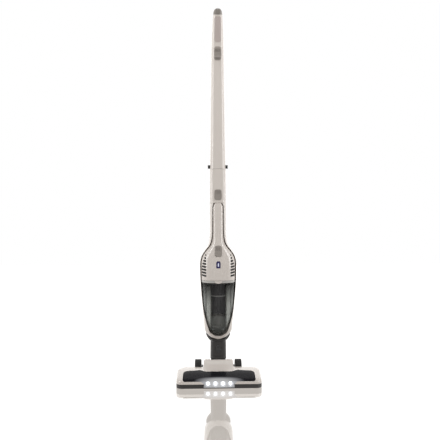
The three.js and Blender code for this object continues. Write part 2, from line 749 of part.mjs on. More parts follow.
function addHandheldInside() {
  const cells = join(rodZ(6.2, 432, 503, 6.3, 23), rodZ(6.2, 432, 503, -6.3, 23));
  add("battery_pack", join(cells, box(-11, 11, 18, 28, 430, 434), box(-11, 11, 18, 28, 501, 505)), "cell");
  const can = rodZ(26, 319, 345, 0, CUP_AXIS_Y, 32);
  add("suction_motor", can.add(rodZ(15, 344, 353, 0, CUP_AXIS_Y)), "steel");
  const seal = rodZ(31, 314.5, 318, 0, CUP_AXIS_Y, 32);
  add("motor_seal", seal.subtract(rodZ(28, 310, 320, 0, CUP_AXIS_Y, 32)), "rubber");
  add("control_board", box(-18, 18, 10, 12, 358, 392), "board");
  const blade = (i) => box(4, 24, -1, 1, 303, 309).rotate([0, 0, i * 45]).translate([0, CUP_AXIS_Y, 0]);
  const blades = Array.from({ length: 8 }, (_, i) => blade(i));
  const disc = rodZ(25, 308.5, 311, 0, CUP_AXIS_Y, 32);
  add("suction_fan", join(disc, rodZ(6, 301, 318.4, 0, CUP_AXIS_Y), ...blades), "grey");
}

// ---- Dust cup -----------------------------------------------------------------------------------

const RIM_BOTTOM_Z = CUP_TOP_Z - RIM_HEIGHT;

function latchOutline(grow) {
  const arc = Array.from({ length: 11 }, (_, i) => {
    const angle = Math.PI + (i * Math.PI) / 10;
    return [(10.8 + grow) * Math.cos(angle), 292.5 + (6.6 + grow) * Math.sin(angle)];
  });
  return [...arc, [10.8 + grow, CUP_TOP_Z - GAP + grow], [-10.8 - grow, CUP_TOP_Z - GAP + grow]];
}

function addCup() {
  const pocket = alongY(latchOutline(GAP), -60, -18.2);
  const hollow = handheldLoft(CUP_BOTTOM_Z + 2.6, 300, 2.2);
  const wall = handheldLoft(CUP_BOTTOM_Z, RIM_BOTTOM_Z - GAP).subtract(hollow);
  add("dust_cup", cut(wall, rodZ(11, 120, 145, 0, NECK_Y), pocket), "smoke");
  const rim = handheldLoft(RIM_BOTTOM_Z, CUP_TOP_Z - GAP).subtract(handheldLoft(280, 300, 5.6));
  add("cup_rim", rim.subtract(pocket), "grey");
  add("cup_latch", alongY(latchOutline(0), -24.6, -20.6), "white");
  const cageHoles = [0, 60, 120].map((turn) => {
    return box(-30, 30, -4, 4, 206, 272).rotate([0, 0, turn]).translate([0, CUP_AXIS_Y, 0]);
  });
  const cage = rodZ(17.4, 199.4, 284, 0, CUP_AXIS_Y, 32);
  const inside = rodZ(15.4, 201.4, 300, 0, CUP_AXIS_Y, 32);
  const flange = handheldLoft(283.2, RIM_BOTTOM_Z - GAP, 2.6).subtract(pocket);
  add("filter_frame", cut(join(cage, flange), inside, ...cageHoles), "black");
  const sleeve = rodZ(21, 197.5, 282.8, 0, CUP_AXIS_Y, 36);
  add("filter_sleeve", sleeve.subtract(rodZ(17.8, 190, 290, 0, CUP_AXIS_Y, 36)), "filter");
  const ports = join(rodY(2.6, 0, 31, 7, 160), rodY(2.6, 0, 31, -7, 160));
  const tube = rodZ(17.4, 153, 193.5, 0, 31, 32);
  add("inlet_tube", cut(tube, rodZ(15.2, 140, 200, 0, 31, 32), ports), "grey");
}

// ---- Handle -------------------------------------------------------------------------------------

const SWITCH_AT = 958; // the middle of the power switch, up the handle
const SWITCH_TRAVEL = 6;
const PAD_AT = 1030; // the middle of the grip pad

// Moves a piece modelled about the middle of the handle to a distance s up it.
function onHandle(s, solid) {
  const [y, z, lean] = handlePath(s);
  return solid.rotate([THREE.MathUtils.radToDeg(lean), 0, 0]).translate([0, y, z]);
}

// The power switch's outline, grown, and lengthened upwards by the room it slides into.
function switchBlock(grow, room, y0, y1) {
  const outline = roundedRect(-9.5 - grow, 9.5 + grow, -16 - grow, 16 + grow + room, 6, 4);
  return onHandle(SWITCH_AT, alongY(outline, y0, y1));
}

function addHandle() {
  const outer = handleLoft(HANDLE_BOTTOM_Z, HANDLE_END);
  const inner = handleLoft(HANDLE_BOTTOM_Z + WALL, HANDLE_END - WALL, WALL);
  const tray = switchBlock(2.5, SWITCH_TRAVEL, -18, -8.5).intersect(outer);
  const buttonHole = box(-60, 60, 28.6, 39.4, 620.9, 632.1);
  const padSlot = (grow) => {
    return onHandle(PAD_AT, alongY(roundedRect(-9 - grow, 9 + grow, -35 - grow, 35 + grow, 6, 3), -40, 0));
  };
  const shell = cut(outer, inner, buttonHole);
  const front = shell.intersect(handleFrontSide(-GAP / 2)).add(tray);
  add("handle_front_shell", cut(front, switchBlock(GAP, SWITCH_TRAVEL, -40, -11), padSlot(GAP)), "white");
  add("handle_rear_shell", shell.subtract(handleFrontSide(GAP / 2)).add(knuckle(-7.6, 7.6, true)), "white");
  add("grip_pad", cut(outer, inner).intersect(padSlot(0)), "grey");
  add("end_cap", handleLoft(HANDLE_END + GAP, 1087), "black");
  add("power_switch", switchBlock(0, 0, -18, -11.35), "grey");
  const flange = box(16, 19, 26.5, 41.5, 622.9, 631.7);
  addPair("fold_button", flange.add(box(16, 29.5, 29, 39, 621.3, 631.7)), "black");
}

addHeadCover();
addHeadBase();
addLamps();
addHeadDrive();
addBrush();
addWheels();
addYoke();
addNeck();
addFrame();
addHousings();
addHandheldInside();
addCup();
addHandle();

export default root;
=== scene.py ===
"""A cordless stick vacuum: finished surfaces, materials, light and camera round its CAD frame."""
import json
import random
from math import copysign, cos, pi, radians, sin

import bmesh
import bpy
from mathutils import Matrix, Vector


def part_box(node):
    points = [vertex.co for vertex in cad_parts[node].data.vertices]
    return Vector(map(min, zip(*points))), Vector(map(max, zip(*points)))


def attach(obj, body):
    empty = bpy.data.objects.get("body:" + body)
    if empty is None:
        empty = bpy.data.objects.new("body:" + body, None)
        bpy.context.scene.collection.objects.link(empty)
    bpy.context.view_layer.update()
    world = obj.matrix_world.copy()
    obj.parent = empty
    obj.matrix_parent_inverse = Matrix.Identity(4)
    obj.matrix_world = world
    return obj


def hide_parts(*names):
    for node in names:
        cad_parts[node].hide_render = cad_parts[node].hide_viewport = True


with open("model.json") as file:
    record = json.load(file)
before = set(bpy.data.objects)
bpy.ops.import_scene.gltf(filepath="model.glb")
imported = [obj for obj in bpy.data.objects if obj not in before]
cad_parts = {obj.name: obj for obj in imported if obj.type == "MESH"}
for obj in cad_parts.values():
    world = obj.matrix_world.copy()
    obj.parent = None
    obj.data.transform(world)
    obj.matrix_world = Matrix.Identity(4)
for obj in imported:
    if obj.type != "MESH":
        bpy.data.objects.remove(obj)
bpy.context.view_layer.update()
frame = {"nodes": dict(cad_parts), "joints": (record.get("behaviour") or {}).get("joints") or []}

scene = bpy.context.scene
random.seed(7)

# ---- Sizes, in millimetres, as the CAD has them ----

MM = 0.001
GAP = 0.35
WALL = 2.4


def box_mm(node):
    """The lowest and highest corners of a CAD node, in millimetres."""
    low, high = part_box(node)
    return Vector(low) / MM, Vector(high) / MM


def joint_mm(name):
    """Where a joint's axis is, in millimetres."""
    joint = next(j for j in frame["joints"] if j["name"] == name)
    return Vector(joint["pos_m"]) / MM


NECK_Y = joint_mm("neck_tilt").y
TILT_Z = joint_mm("neck_tilt").z
SWIVEL_Z = joint_mm("neck_swivel").z
BRUSH = joint_mm("brush_spin")
WHEEL = joint_mm("right_wheel_spin")
HINGE = joint_mm("handle_fold")
CUP_AXIS_Y = joint_mm("suction_fan_spin").y
HEAD_LOW, HEAD_HIGH = box_mm("head_base")
HEAD_HALF_WIDTH = HEAD_HIGH.x
HEAD_FRONT_Y = HEAD_LOW.y
HEAD_REAR_Y = 26
HEAD_FRONT_RADIUS = 16
HEAD_REAR_RADIUS = 24
HEAD_NARROWING = 0.018
HEAD_SHOULDER = 7.0
HEAD_RIDGE_Y = -24
HEAD_SPLIT_Z = box_mm("head_cover")[0].z
HUMP_FRONT_Y = -26
HUMP_REAR_Y = 54
WINDOW_HALF_WIDTH = 101.5
LAMP_HOUSING_TOP_Z = 21.4
NECK_SLOT_HALF_WIDTH = 24.3
NECK_SLOT_FRONT_Y = 13.6
NECK_BUTTON_Z = 90
AIRWAY_RADIUS = 14
GASKET_RADIUS = 18
FRAME_TOP_Z = box_mm("frame_front_shell")[1].z
CUP_BOTTOM_Z = box_mm("dust_cup")[0].z
SEAT_Z = CUP_BOTTOM_Z - 4
CUP_TOP_Z = box_mm("cup_rim")[1].z + GAP
RIM_BOTTOM_Z = box_mm("cup_rim")[0].z
HANDHELD_TOP_Z = box_mm("handheld_front_housing")[1].z
SEAM_Y = 34
HANDHELD_SEAM_Y = 17
HANDHELD_BACK_Y = 51.5
INLET_Y = 31
GRIP_BACK_Y = 34

# Height, half width, front y and rear y of the upright body, up to the fold.
BODY = [
    (119.8, 8, 9, 54), (121, 13, 7, 55), (123, 18.5, 4.5, 56),
    (125, 22.8, 2.5, 57), (128, 27, 0.3, 58), (131, 30.4, -1.5, 58.6),
    (135, 34, -4, 59.6), (139, 37.2, -6.3, 60.5), (143, 39.4, -8.2, 61.3),
    (148, 40.8, -10, 62), (157, 41.7, -12.2, 63), (172, 42.8, -15.5, 64),
    (200, 46, -18.5, 65), (232, 48.8, -20.8, 66), (261, 51.7, -22, 66.8),
    (291, 53.4, -22, 67), (322, 54.8, -20, 66.3), (350, 53.8, -17, 65),
    (366, 49, -14.5, 63), (381, 40, -11, 61), (394, 31, -7, 59.5),
    (408, 26.5, -3, 58), (430, 24.4, 2, 56.5), (470, 24, 8, 55),
    (520, 23.9, 12.5, 54), (FRAME_TOP_Z, 23.4, 14, 54),
]

# Height, half width and front y of the handheld.
HANDHELD = [
    (CUP_BOTTOM_Z, 8, 8), (133, 12.5, 4.5), (136.5, 18, 0),
    (139.5, 22.3, -3), (143, 25.3, -5.5), (148, 27.5, -8),
    (159, 31, -11.5), (171, 35, -14.5), (183, 38.2, -16.5),
    (200, 42, -18), (225, 45.6, -20), (260, 48.8, -21.6),
    (CUP_TOP_Z, 51.2, -22.2), (330, 52, -20), (350, 51.2, -17.5),
    (366, 46.4, -15), (381, 36.4, -11.5), (394, 26, -7.5),
    (408, 20, -3.5), (430, 17, 1), (470, 16.4, 7),
    (508, 16, 11.5), (HANDHELD_TOP_Z, 12.5, 13.5),
]

# Distance up the handle, half width and half depth. The last rows close its end cap.
HANDLE_BOTTOM = 620
HANDLE_END = 1071
HANDLE = [
    (HANDLE_BOTTOM, 23.4, 20), (702, 21.8, 18.8), (790, 20.7, 17.8),
    (860, 19.6, 17.2), (905, 19, 16.7), (950, 18.4, 16.1),
    (995, 17.2, 15.5), (1035, 15.7, 14.6), (HANDLE_END, 13.3, 12.8),
    (1078, 11.8, 11.4), (1083, 9.4, 9.2), (1086, 6, 5.8),
    (1087, 2.6, 2.6),
]
HANDLE_Y = 34
BEND_START = 860
BEND_RADIUS = 480
SWITCH_AT = 958
SWITCH_TRAVEL = 6
PAD_AT = 1030
HANDLE_TIP = (0, -20, 1083)

# ---- Mesh tools, all in millimetres ----

WELD = 0.02
WELD_AFTER_CUTS = 0.03
BEVEL_DEGREES = 32
PLACE = {
    "x": lambda a, b, c: (c, a, b),
    "y": lambda a, b, c: (a, c, b),
    "z": lambda a, b, c: (a, b, c),
}


def make(name, verts, faces):
    """A new object from points in millimetres."""
    mesh = bpy.data.meshes.new(name)
    mesh.from_pydata([Vector(v) * MM for v in verts], [], faces)
    obj = bpy.data.objects.new(name, mesh)
    scene.collection.objects.link(obj)
    return obj


def edit(obj, change):
    """Runs change(bm) on the object's mesh."""
    bm = bmesh.new()
    bm.from_mesh(obj.data)
    change(bm)
    bm.to_mesh(obj.data)
    bm.free()
    return obj


def loft(name, rings):
    """A closed solid through rings of points, each counter-clockwise seen from the last one's side."""
    count = len(rings[0])
    faces = []
    for level in range(len(rings) - 1):
        a = level * count
        for i in range(count):
            j = (i + 1) % count
            faces.append((a + i, a + j, a + count + j, a + count + i))
    last = (len(rings) - 1) * count
    faces.append(tuple(reversed(range(count))))
    faces.append(tuple(range(last, last + count)))
    return make(name, [p for ring in rings for p in ring], faces)


def prism(name, outline, axis, low, high):
    """An outline drawn out along an axis: (y, z) along x, (x, z) along y or (x, y) along z."""
    area = sum(a[0] * b[1] - b[0] * a[1] for a, b in zip([outline[-1], *outline], outline))
    forward = (area > 0) != (axis == "y")
    points = outline if forward else outline[::-1]
    return loft(name, [[PLACE[axis](a, b, c) for a, b in points] for c in (low, high)])


def block(name, x, y, z):
    return prism(name, [(x[0], y[0]), (x[1], y[0]), (x[1], y[1]), (x[0], y[1])], "z", *z)


def circle(centre, radius, count=48):
    angles = [2 * pi * i / count for i in range(count)]
    return [(centre[0] + radius * cos(a), centre[1] + radius * sin(a)) for a in angles]


def rod(name, axis, centre, radius, low, high, count=48):
    return prism(name, circle(centre, radius, count), axis, low, high)


def post(name, y, radius, low, high, count=48):
    """An upright rod in the middle plane."""
    return rod(name, "z", (0, y), radius, low, high, count)


def lathe(name, axis, centre, profile, count=64):
    """A profile of (distance along the axis, radius), turned round an axis through centre."""
    place = {
        "x": lambda a, b, c: (c, centre[0] + a, centre[1] + b),
        "y": lambda a, b, c: (centre[0] + b, c, centre[1] + a),
        "z": lambda a, b, c: (centre[0] + a, centre[1] + b, c),
    }[axis]
    rings = [(along, circle((0, 0), max(radius, 0.02), count)) for along, radius in profile]
    return loft(name, [[place(a, b, along) for a, b in ring] for along, ring in rings])


def rounded(a0, a1, b0, b1, radius, far_radius=None, steps=8):
    """The corners of a rectangle, each rounded by an arc. far_radius rounds the two at b1."""
    far = radius if far_radius is None else far_radius
    corners = [
        (a1 - far, b1 - far, far, 0),
        (a0 + far, b1 - far, far, 1),
        (a0 + radius, b0 + radius, radius, 2),
        (a1 - radius, b0 + radius, radius, 3),
    ]
    points = []
    for a, b, r, quarter in corners:
        for i in range(steps + 1):
            angle = (quarter + i / steps) * pi / 2
            points.append((a + r * cos(angle), b + r * sin(angle)))
    return points


def combine(obj, *tools, how="DIFFERENCE"):
    """Cuts the tools from obj, or joins or intersects them with it, and uses them up."""
    for tool in tools:
        modifier = obj.modifiers.new("combine", "BOOLEAN")
        modifier.object = tool
        modifier.operation = how
        modifier.solver = "MANIFOLD"
        depsgraph = bpy.context.evaluated_depsgraph_get()
        mesh = bpy.data.meshes.new_from_object(obj.evaluated_get(depsgraph))
        obj.modifiers.clear()
        obj.data = mesh
        bpy.data.objects.remove(tool)
    return obj


def cut(obj, *tools):
    return combine(obj, *tools)


def join(obj, *tools):
    return combine(obj, *tools, how="UNION")


def overlap(obj, *tools):
    return combine(obj, *tools, how="INTERSECT")


def copy(obj):
    twin = obj.copy()
    twin.data = obj.data.copy()
    scene.collection.objects.link(twin)
    return twin


def flip(obj):
    """Moves an object to the other side of the middle plane."""

    def change(bm):
        bmesh.ops.scale(bm, vec=(-1, 1, 1), verts=bm.verts)
        bmesh.ops.reverse_faces(bm, faces=bm.faces)

    return edit(obj, change)


def move(obj, matrix):
    obj.data.transform(matrix)
    return obj


def soften(obj, width, segments):
    """Smooth faces, with every sharp edge rounded by width millimetres, or kept sharp at 0."""
    edit(obj, lambda bm: bmesh.ops.remove_doubles(bm, verts=bm.verts, dist=WELD_AFTER_CUTS * MM))
    obj.data.shade_smooth()
    if width:
        bevel = add_bevel(obj, width, BEVEL_DEGREES, segments)
        bevel.harden_normals = True
        bevel.use_clamp_overlap = True
    obj.data.set_sharp_from_angle(angle=radians(BEVEL_DEGREES + 10))


def add_bevel(obj, width, angle, segments=2):
    """Rounds the edges that are sharper than an angle in degrees."""
    bevel = obj.modifiers.new("edges", "BEVEL")
    bevel.width = width * MM
    bevel.segments = segments
    bevel.limit_method = "ANGLE"
    bevel.angle_limit = radians(angle)
    return bevel


# ---- Surfaces ----


def smooth(table, z):
    """A smooth row of values at height z, from a table whose first column is the height."""
    last = len(table) - 1
    i = next((k for k, row in enumerate(table) if z < row[0]), last) - 1
    i = min(max(i, 0), last - 1)

    def slope(k, c):
        below, above = max(k - 1, 0), min(k + 1, last)
        return (table[above][c] - table[below][c]) / (table[above][0] - table[below][0])

    step = table[i + 1][0] - table[i][0]
    t = min(max((z - table[i][0]) / step, 0), 1)
    values = []
    for c in range(1, len(table[0])):
        start, end = table[i][c], table[i + 1][c]
        value = start * (1 + 2 * t) * (1 - t) ** 2 + end * t * t * (3 - 2 * t)
        value += slope(i, c) * step * t * (1 - t) ** 2 + slope(i + 1, c) * step * t * t * (t - 1)
        values.append(value)
    return values


def oval(y, z, width, front, rear, lean=0.0, power=2.6, count=96):
    """One ring of a loft: a superellipse across x and an axis that leans from +Y."""
    points = []
    for i in range(count):
        angle = 2 * pi * (i + 0.5) / count
        c, s = cos(angle), sin(angle)
        x = width * copysign(abs(c) ** (2 / power), c)
        depth = (rear if s > 0 else front) * copysign(abs(s) ** (2 / power), s)
        points.append((x, y + depth * cos(lean), z + depth * sin(lean)))
    return points


def stations(low, high, step):
    """Even places from low to high, about a step apart."""
    count = max(int((high - low) / step), 1)
    return [low + (high - low) * i / count for i in range(count + 1)]


def body_loft(low, high, inset=0.0):
    rings = []
    for z in stations(low, high, 2.5):
        width, front, rear = smooth(BODY, z)
        y = min(30, (front + rear) / 2)
        rings.append(oval(y, z, max(width - inset, 1), y - front - inset, rear - y - inset))
    return loft("body", rings)


def back_y(z):
    """The flat back of the handheld, which steps forward from the motor to the grip."""
    t = min(max((z - 385) / 50, 0), 1)
    return HANDHELD_BACK_Y + (GRIP_BACK_Y - HANDHELD_BACK_Y) * t * t * (3 - 2 * t)


def handheld_loft(low, high, inset=0.0, step=3.0):
    rings = []
    for z in stations(low, high, step):
        width, front = smooth(HANDHELD, z)
        rear = back_y(z)
        y = front + (rear - front) * 0.72
        rings.append(oval(y, z, max(width - inset, 1), y - front - inset, rear - y - inset, power=2.7))
    return loft("handheld", rings)


def docking_space(clearance):
    """What the handheld needs to leave to the front: its own shape, swept forward."""
    low, high = CUP_BOTTOM_Z - clearance, HANDHELD_TOP_Z + clearance
    right = [(smooth(HANDHELD, z)[0] + clearance, z) for z in stations(low, high, 2.5)]
    outline = right + [(-x, z) for x, z in reversed(right)]
    return join(prism("dock", outline, "y", -150, 26), handheld_loft(low, high, -clearance))


def handle_path(s):
    """The middle of the handle at a distance s up it: its y, its z and its forward lean."""
    lean = max(s - BEND_START, 0) / BEND_RADIUS
    y = HANDLE_Y - BEND_RADIUS * (1 - cos(lean))
    return y, min(s, BEND_START) + BEND_RADIUS * sin(lean), lean


def handle_loft(low, high, inset=0.0, step=4.0):
    rings = []
    for s in stations(low, high, step):
        width, depth = smooth(HANDLE, s)
        y, z, lean = handle_path(s)
        half = max(depth - inset, 1)
        rings.append(oval(y, z, max(width - inset, 1), half, half, lean, power=2.5, count=72))
    return loft("handle", rings)


def handle_front_side(shift):
    """Everything in front of the middle of the handle, moved back by shift."""
    middle = []
    for s in stations(600, 1100, 8):
        y, z, lean = handle_path(s)
        middle.append((y + shift * cos(lean), z + shift * sin(lean)))
    return prism("front", [*reversed(middle), (-150, 600), (-150, 1120)], "x", -40, 40)


def on_handle(obj, s):
    """Moves a piece made about the middle of the handle to a distance s up it."""
    y, z, lean = handle_path(s)
    return move(obj, Matrix.Translation((0, y * MM, z * MM)) @ Matrix.Rotation(lean, 4, "X"))


# ---- Materials ----

NONE = (0, 0, 0)
FULL = (1, 1, 1)
CUP_REACH = 50
FAR = 4000


def grey(value):
    return (value, value, value)


def spread(colour, amount):
    """A colour made lighter by a share of itself, or darker by a negative one."""
    return tuple(min(max(c * (1 + amount), 0), 1) for c in colour)


def set_inputs(node, **values):
    """Sets a node's inputs by name. An underscore in a name stands for a space."""
    for name, value in values.items():
        node.inputs[name.replace("_", " ")].default_value = value


def add_node(tree, kind, **values):
    """A new shader node, with some of its inputs set."""
    node = tree.nodes.new("ShaderNode" + kind)
    set_inputs(node, **values)
    return node


def new_material(name, **values):
    """A fresh material, its node tree and its shader node with some inputs set."""
    material = bpy.data.materials.new(name)
    material.use_nodes = True
    tree = material.node_tree
    shader = tree.nodes["Principled BSDF"]
    set_inputs(shader, **values)
    return material, tree, shader


def placed(tree, texture, **mapping):
    """Feeds a texture with places on the object, in metres, through a mapping."""
    where = add_node(tree, "TexCoord")
    placing = add_node(tree, "Mapping", **mapping)
    tree.links.new(where.outputs["Object"], placing.inputs["Vector"])
    tree.links.new(placing.outputs["Vector"], texture.inputs["Vector"])
    return texture


def noise(tree, scale, detail=4.0, roughness=0.55, stretch=FULL):
    """A noise texture, stretched along the axes."""
    texture = add_node(tree, "TexNoise", Scale=scale, Detail=detail, Roughness=roughness)
    return placed(tree, texture, Scale=stretch)


def falloff(tree, centre, reach):
    """1 at the centre, falling to 0 at the reach along each axis, in millimetres."""
    gradient = add_node(tree, "TexGradient")
    gradient.gradient_type = "SPHERICAL"
    scale = [1 / (r * MM) for r in reach]
    offset = [-c / r for c, r in zip(centre, reach)]
    return placed(tree, gradient, Scale=scale, Location=offset)


def ramp(tree, source, *stops):
    """A colour ramp over a texture's value: stops are (place, colour)."""
    node = add_node(tree, "ValToRGB")
    elements = node.color_ramp.elements
    while len(elements) < len(stops):
        elements.new(0.5)
    for element, (place, colour) in zip(elements, stops):
        element.position = place
        element.color = (*colour, 1)
    tree.links.new(source.outputs[0], node.inputs["Fac"])
    return node.outputs["Color"]


def paint(tree, shader, source, *stops, socket="Base Color"):
    """Drives one of the shader's inputs by a colour ramp over a texture."""
    tree.links.new(ramp(tree, source, *stops), shader.inputs[socket])


def add_bump(tree, shader, height, strength, distance=0.0002):
    bump = add_node(tree, "Bump", Strength=strength, Distance=distance)
    tree.links.new(height.outputs[0], bump.inputs["Height"])
    tree.links.new(bump.outputs["Normal"], shader.inputs["Normal"])


def add_grain(tree, shader, scale, rough, bump):
    """A fine grain that varies the roughness and lifts the surface a little."""
    fine = noise(tree, scale, 5)
    shares = ((0.3, grey(rough * 0.85)), (0.7, grey(rough * 1.18)))
    paint(tree, shader, fine, *shares, socket="Roughness")
    add_bump(tree, shader, fine, bump)


def moulded(name, colour, rough, grain=2600.0, bump=0.08, vary=0.03, coat=0.0, blotch=14.0):
    """Moulded plastic: a slow drift of colour, a fine grain, and sometimes a clear gloss."""
    material, tree, shader = new_material(name, Coat_Weight=coat, Coat_Roughness=0.08)
    drift = noise(tree, blotch, 3)
    paint(tree, shader, drift, (0.3, spread(colour, -vary)), (0.7, spread(colour, vary)))
    add_grain(tree, shader, grain, rough, bump)
    return material


def rubbery(name, colour, grain=900.0):
    """Matt rubber with a faint dusty bloom and a fine pebble."""
    material, tree, shader = new_material(name, Roughness=0.82, Sheen_Weight=0.15)
    dust = noise(tree, 35, 6, 0.65)
    paint(tree, shader, dust, (0.35, colour), (0.75, spread(colour, 0.9)))
    add_bump(tree, shader, noise(tree, grain, 5), 0.25, 0.0003)
    return material


def metal(name, colour, rough, stretch):
    """Turned or drawn metal, with fine lines along or round it."""
    material, tree, shader = new_material(name, Metallic=1.0)
    lines = noise(tree, 500, 4, 0.6, stretch)
    paint(tree, shader, lines, (0.3, spread(colour, -0.12)), (0.7, spread(colour, 0.08)))
    shares = ((0.3, grey(rough * 0.8)), (0.7, grey(rough * 1.3)))
    paint(tree, shader, lines, *shares, socket="Roughness")
    add_bump(tree, shader, lines, 0.12)
    return material


def smoky(name, colour, clear, rough, shine=0.3):
    """Smoke-tinted clear plastic with fine scratches: each face lets the share `clear` through."""
    material, tree, shader = new_material(name, Alpha=1 - clear, Specular_IOR_Level=shine)
    haze = noise(tree, 20, 4)
    paint(tree, shader, haze, (0.3, spread(colour, -0.15)), (0.7, spread(colour, 0.15)))
    fine = noise(tree, 700, 6, 0.7, (1, 1, 0.25))
    paint(tree, shader, fine, (0.4, grey(rough)), (0.8, grey(rough + 0.08)), socket="Roughness")
    add_bump(tree, shader, fine, 0.05, 0.0001)
    return material


def mixed(tree, share, first, second):
    """The socket `first`, turned into the plain colour `second` by the share."""
    mix = add_node(tree, "Mix")
    mix.data_type = "RGBA"
    set_inputs(mix, B=(*second, 1))
    tree.links.new(share, mix.inputs["Factor"])
    tree.links.new(first, mix.inputs["A"])
    return mix.outputs["Result"]


def both(tree, first, second):
    """The product of two shares."""
    product = add_node(tree, "Math")
    product.operation = "MULTIPLY"
    tree.links.new(first, product.inputs[0])
    tree.links.new(second, product.inputs[1])
    return product.outputs["Value"]


def across_cup(tree, *stops):
    """A ramp over the distance from the middle plane, in millimetres, from the outside in."""
    gradient = falloff(tree, (0, 0, 0), (CUP_REACH, FAR, FAR))
    return ramp(tree, gradient, *[(1 - x / CUP_REACH, colour) for x, colour in stops])


def cup_painted_light(material):
    """Smoky plastic with painted light and shade: a pale painted sheen at its sides, a painted dark line
    where the wall turns away, and painted shade towards its mouth.
    """
    tree = material.node_tree
    shader = tree.nodes["Principled BSDF"]
    dark, core = (0.012, 0.013, 0.012), (0.115, 0.12, 0.112)
    pale, edge = (0.52, 0.54, 0.51), (0.42, 0.44, 0.42)
    # Painted light across the wall: a pale painted sheen at the sides and a painted dark line about 36
    # mm out.
    tone = across_cup(
        tree, (44, edge), (38, edge), (36.6, dark), (35.75, dark), (34, pale), (25, pale), (19.5, dark)
    )
    hidden = across_cup(
        tree, (38, grey(0.45)), (36.25, grey(0.6)), (34, grey(0.4)), (25, grey(0.4)), (19, grey(0.06))
    )
    floor = falloff(tree, (0, 0, CUP_BOTTOM_Z), (FAR, FAR, 70))
    low = ramp(tree, floor, (0.1, NONE), (0.16, FULL))
    near_core = both(tree, across_cup(tree, (25, NONE), (19, FULL)), low)
    # Painted shade: the wall turns dark towards its mouth, under the housing.
    mouth = falloff(tree, (0, 0, CUP_TOP_Z), (FAR, FAR, 75))
    shade = ramp(tree, mouth, (0.05, NONE), (0.85, FULL))
    toned = mixed(tree, shade, mixed(tree, near_core, tone, core), dark)
    tree.links.new(toned, shader.inputs["Base Color"])
    tree.links.new(mixed(tree, near_core, hidden, grey(0.34)), shader.inputs["Alpha"])
    return material


def add_glow(material, strength):
    """Lights a plastic round the four lamps, fading along the head and towards its rear."""
    tree = material.node_tree
    shader = tree.nodes["Principled BSDF"]
    near = falloff(tree, (0, HEAD_FRONT_Y, 20), (84, 24, 40))
    stops = ((0.15, NONE), (0.4, (0.45, 0.45, 0.47)), (0.7, FULL))
    paint(tree, shader, near, *stops, socket="Emission Color")
    set_inputs(shader, Emission_Strength=strength)
    return material


def capped(name, colour, dark, rough):
    """Moulded plastic that turns darker at the tip of the handle."""
    material, tree, shader = new_material(name)
    tip = falloff(tree, HANDLE_TIP, (60, 60, 9))
    paint(tree, shader, tip, (0.3, colour), (0.8, dark))
    add_grain(tree, shader, 1800, rough, 0.1)
    return material


def lit(name, colour, strength):
    """A lamp, with a little ripple in its plastic."""
    material, tree, shader = new_material(name, Emission_Strength=strength, Roughness=0.12)
    ripple = noise(tree, 900, 3)
    tint = ramp(tree, ripple, (0.2, (0.75, 0.8, 0.9)), (0.6, colour))
    for socket in ("Base Color", "Emission Color"):
        tree.links.new(tint, shader.inputs[socket])
    add_bump(tree, shader, ripple, 0.1)
    return material


WHITE = moulded("white_gloss", (0.645, 0.597, 0.555), 0.22, 1800, 0.015, vary=0.012, coat=0.35, blotch=6)
BLACK = moulded("black_satin", (0.030, 0.028, 0.027), 0.42, 2200, 0.14, vary=0.15)
BLACK_GLOSS = moulded("black_gloss", (0.022, 0.022, 0.023), 0.18, 1500, 0.03, vary=0.1, coat=0.3)
BUTTON = moulded("button_grey_brown", (0.29, 0.262, 0.238), 0.40, 2400, 0.12, vary=0.05)
GREY = moulded("grey_satin", (0.30, 0.30, 0.29), 0.38, 2000, 0.1, vary=0.05)
PALE_GREY = moulded("rim_grey", (0.46, 0.45, 0.43), 0.30, 1800, 0.05, coat=0.2)
SOFT_GRIP = moulded("soft_grip", (0.46, 0.40, 0.378), 0.55, 1500, 0.12)
RUBBER = rubbery("rubber", (0.020, 0.020, 0.020))
STEEL = metal("turned_steel", (0.62, 0.61, 0.60), 0.28, (0.15, 6, 6))
CAN = metal("drawn_can", (0.56, 0.56, 0.57), 0.35, (6, 6, 0.15))
CAP = capped("cap_taupe", (0.22, 0.20, 0.18), (0.05, 0.045, 0.042), 0.4)
# The cup's colour holds painted light and shade.
CUP = cup_painted_light(smoky("smoky_cup", (0.16, 0.165, 0.155), 0.94, 0.08))
WINDOW = add_glow(smoky("smoky_window", (0.010, 0.010, 0.012), 0.08, 0.12, shine=0.02), 0.42)
LAMP = lit("lamp_white", (1.0, 1.0, 1.0), 1.15)
LIGHT_WHITE = lit("indicator_white", (0.55, 0.58, 0.72), 0.25)
LIGHT_BLUE = moulded("indicator_outline", (0.02, 0.016, 0.09), 0.3)
# Near-black cloth behind the vents, which paints the shade in the vent slots.
VENT_SHADE_CLOTH = rubbery("vent_shade_cloth", (0.012, 0.012, 0.012), 2500)
BOARD = moulded("solder_mask", (0.02, 0.13, 0.055), 0.3, 900, 0.12, vary=0.12, coat=0.4, blotch=60)
WRAP = moulded("shrink_wrap", (0.035, 0.10, 0.28), 0.24, 700, 0.1, vary=0.06, coat=0.2)
FILTER = rubbery("filter_cloth", (0.045, 0.045, 0.047), 2500)
BRISTLE = rubbery("bristle_nylon", (0.09, 0.09, 0.10), 3000)
REFLECTOR = add_glow(moulded("lamp_housing", (0.30, 0.31, 0.33), 0.35, 1500, 0.05, vary=0.05), 0.26)


def cover(obj, material):
    obj.data.materials.clear()
    obj.data.materials.append(material)


def finish(obj, edge, name, body, material, slot, *nodes, segments=2):
    """A visible piece: its edges, name, body and material, and the CAD nodes it stands for."""
    obj.name = name
    if edge is not None:
        soften(obj, edge, segments)
    cover(obj, material)
    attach(obj, body)
    if nodes:
        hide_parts(*nodes)


def dress(node, material, edge=0.3):
    """Gives a CAD node its material and rounded edges."""
    obj = frame["nodes"][node]
    cover(obj, material)
    weld = obj.modifiers.new("weld", "WELD")
    weld.merge_threshold = WELD * MM
    add_bevel(obj, edge, 40)


# ---- Floor head ----


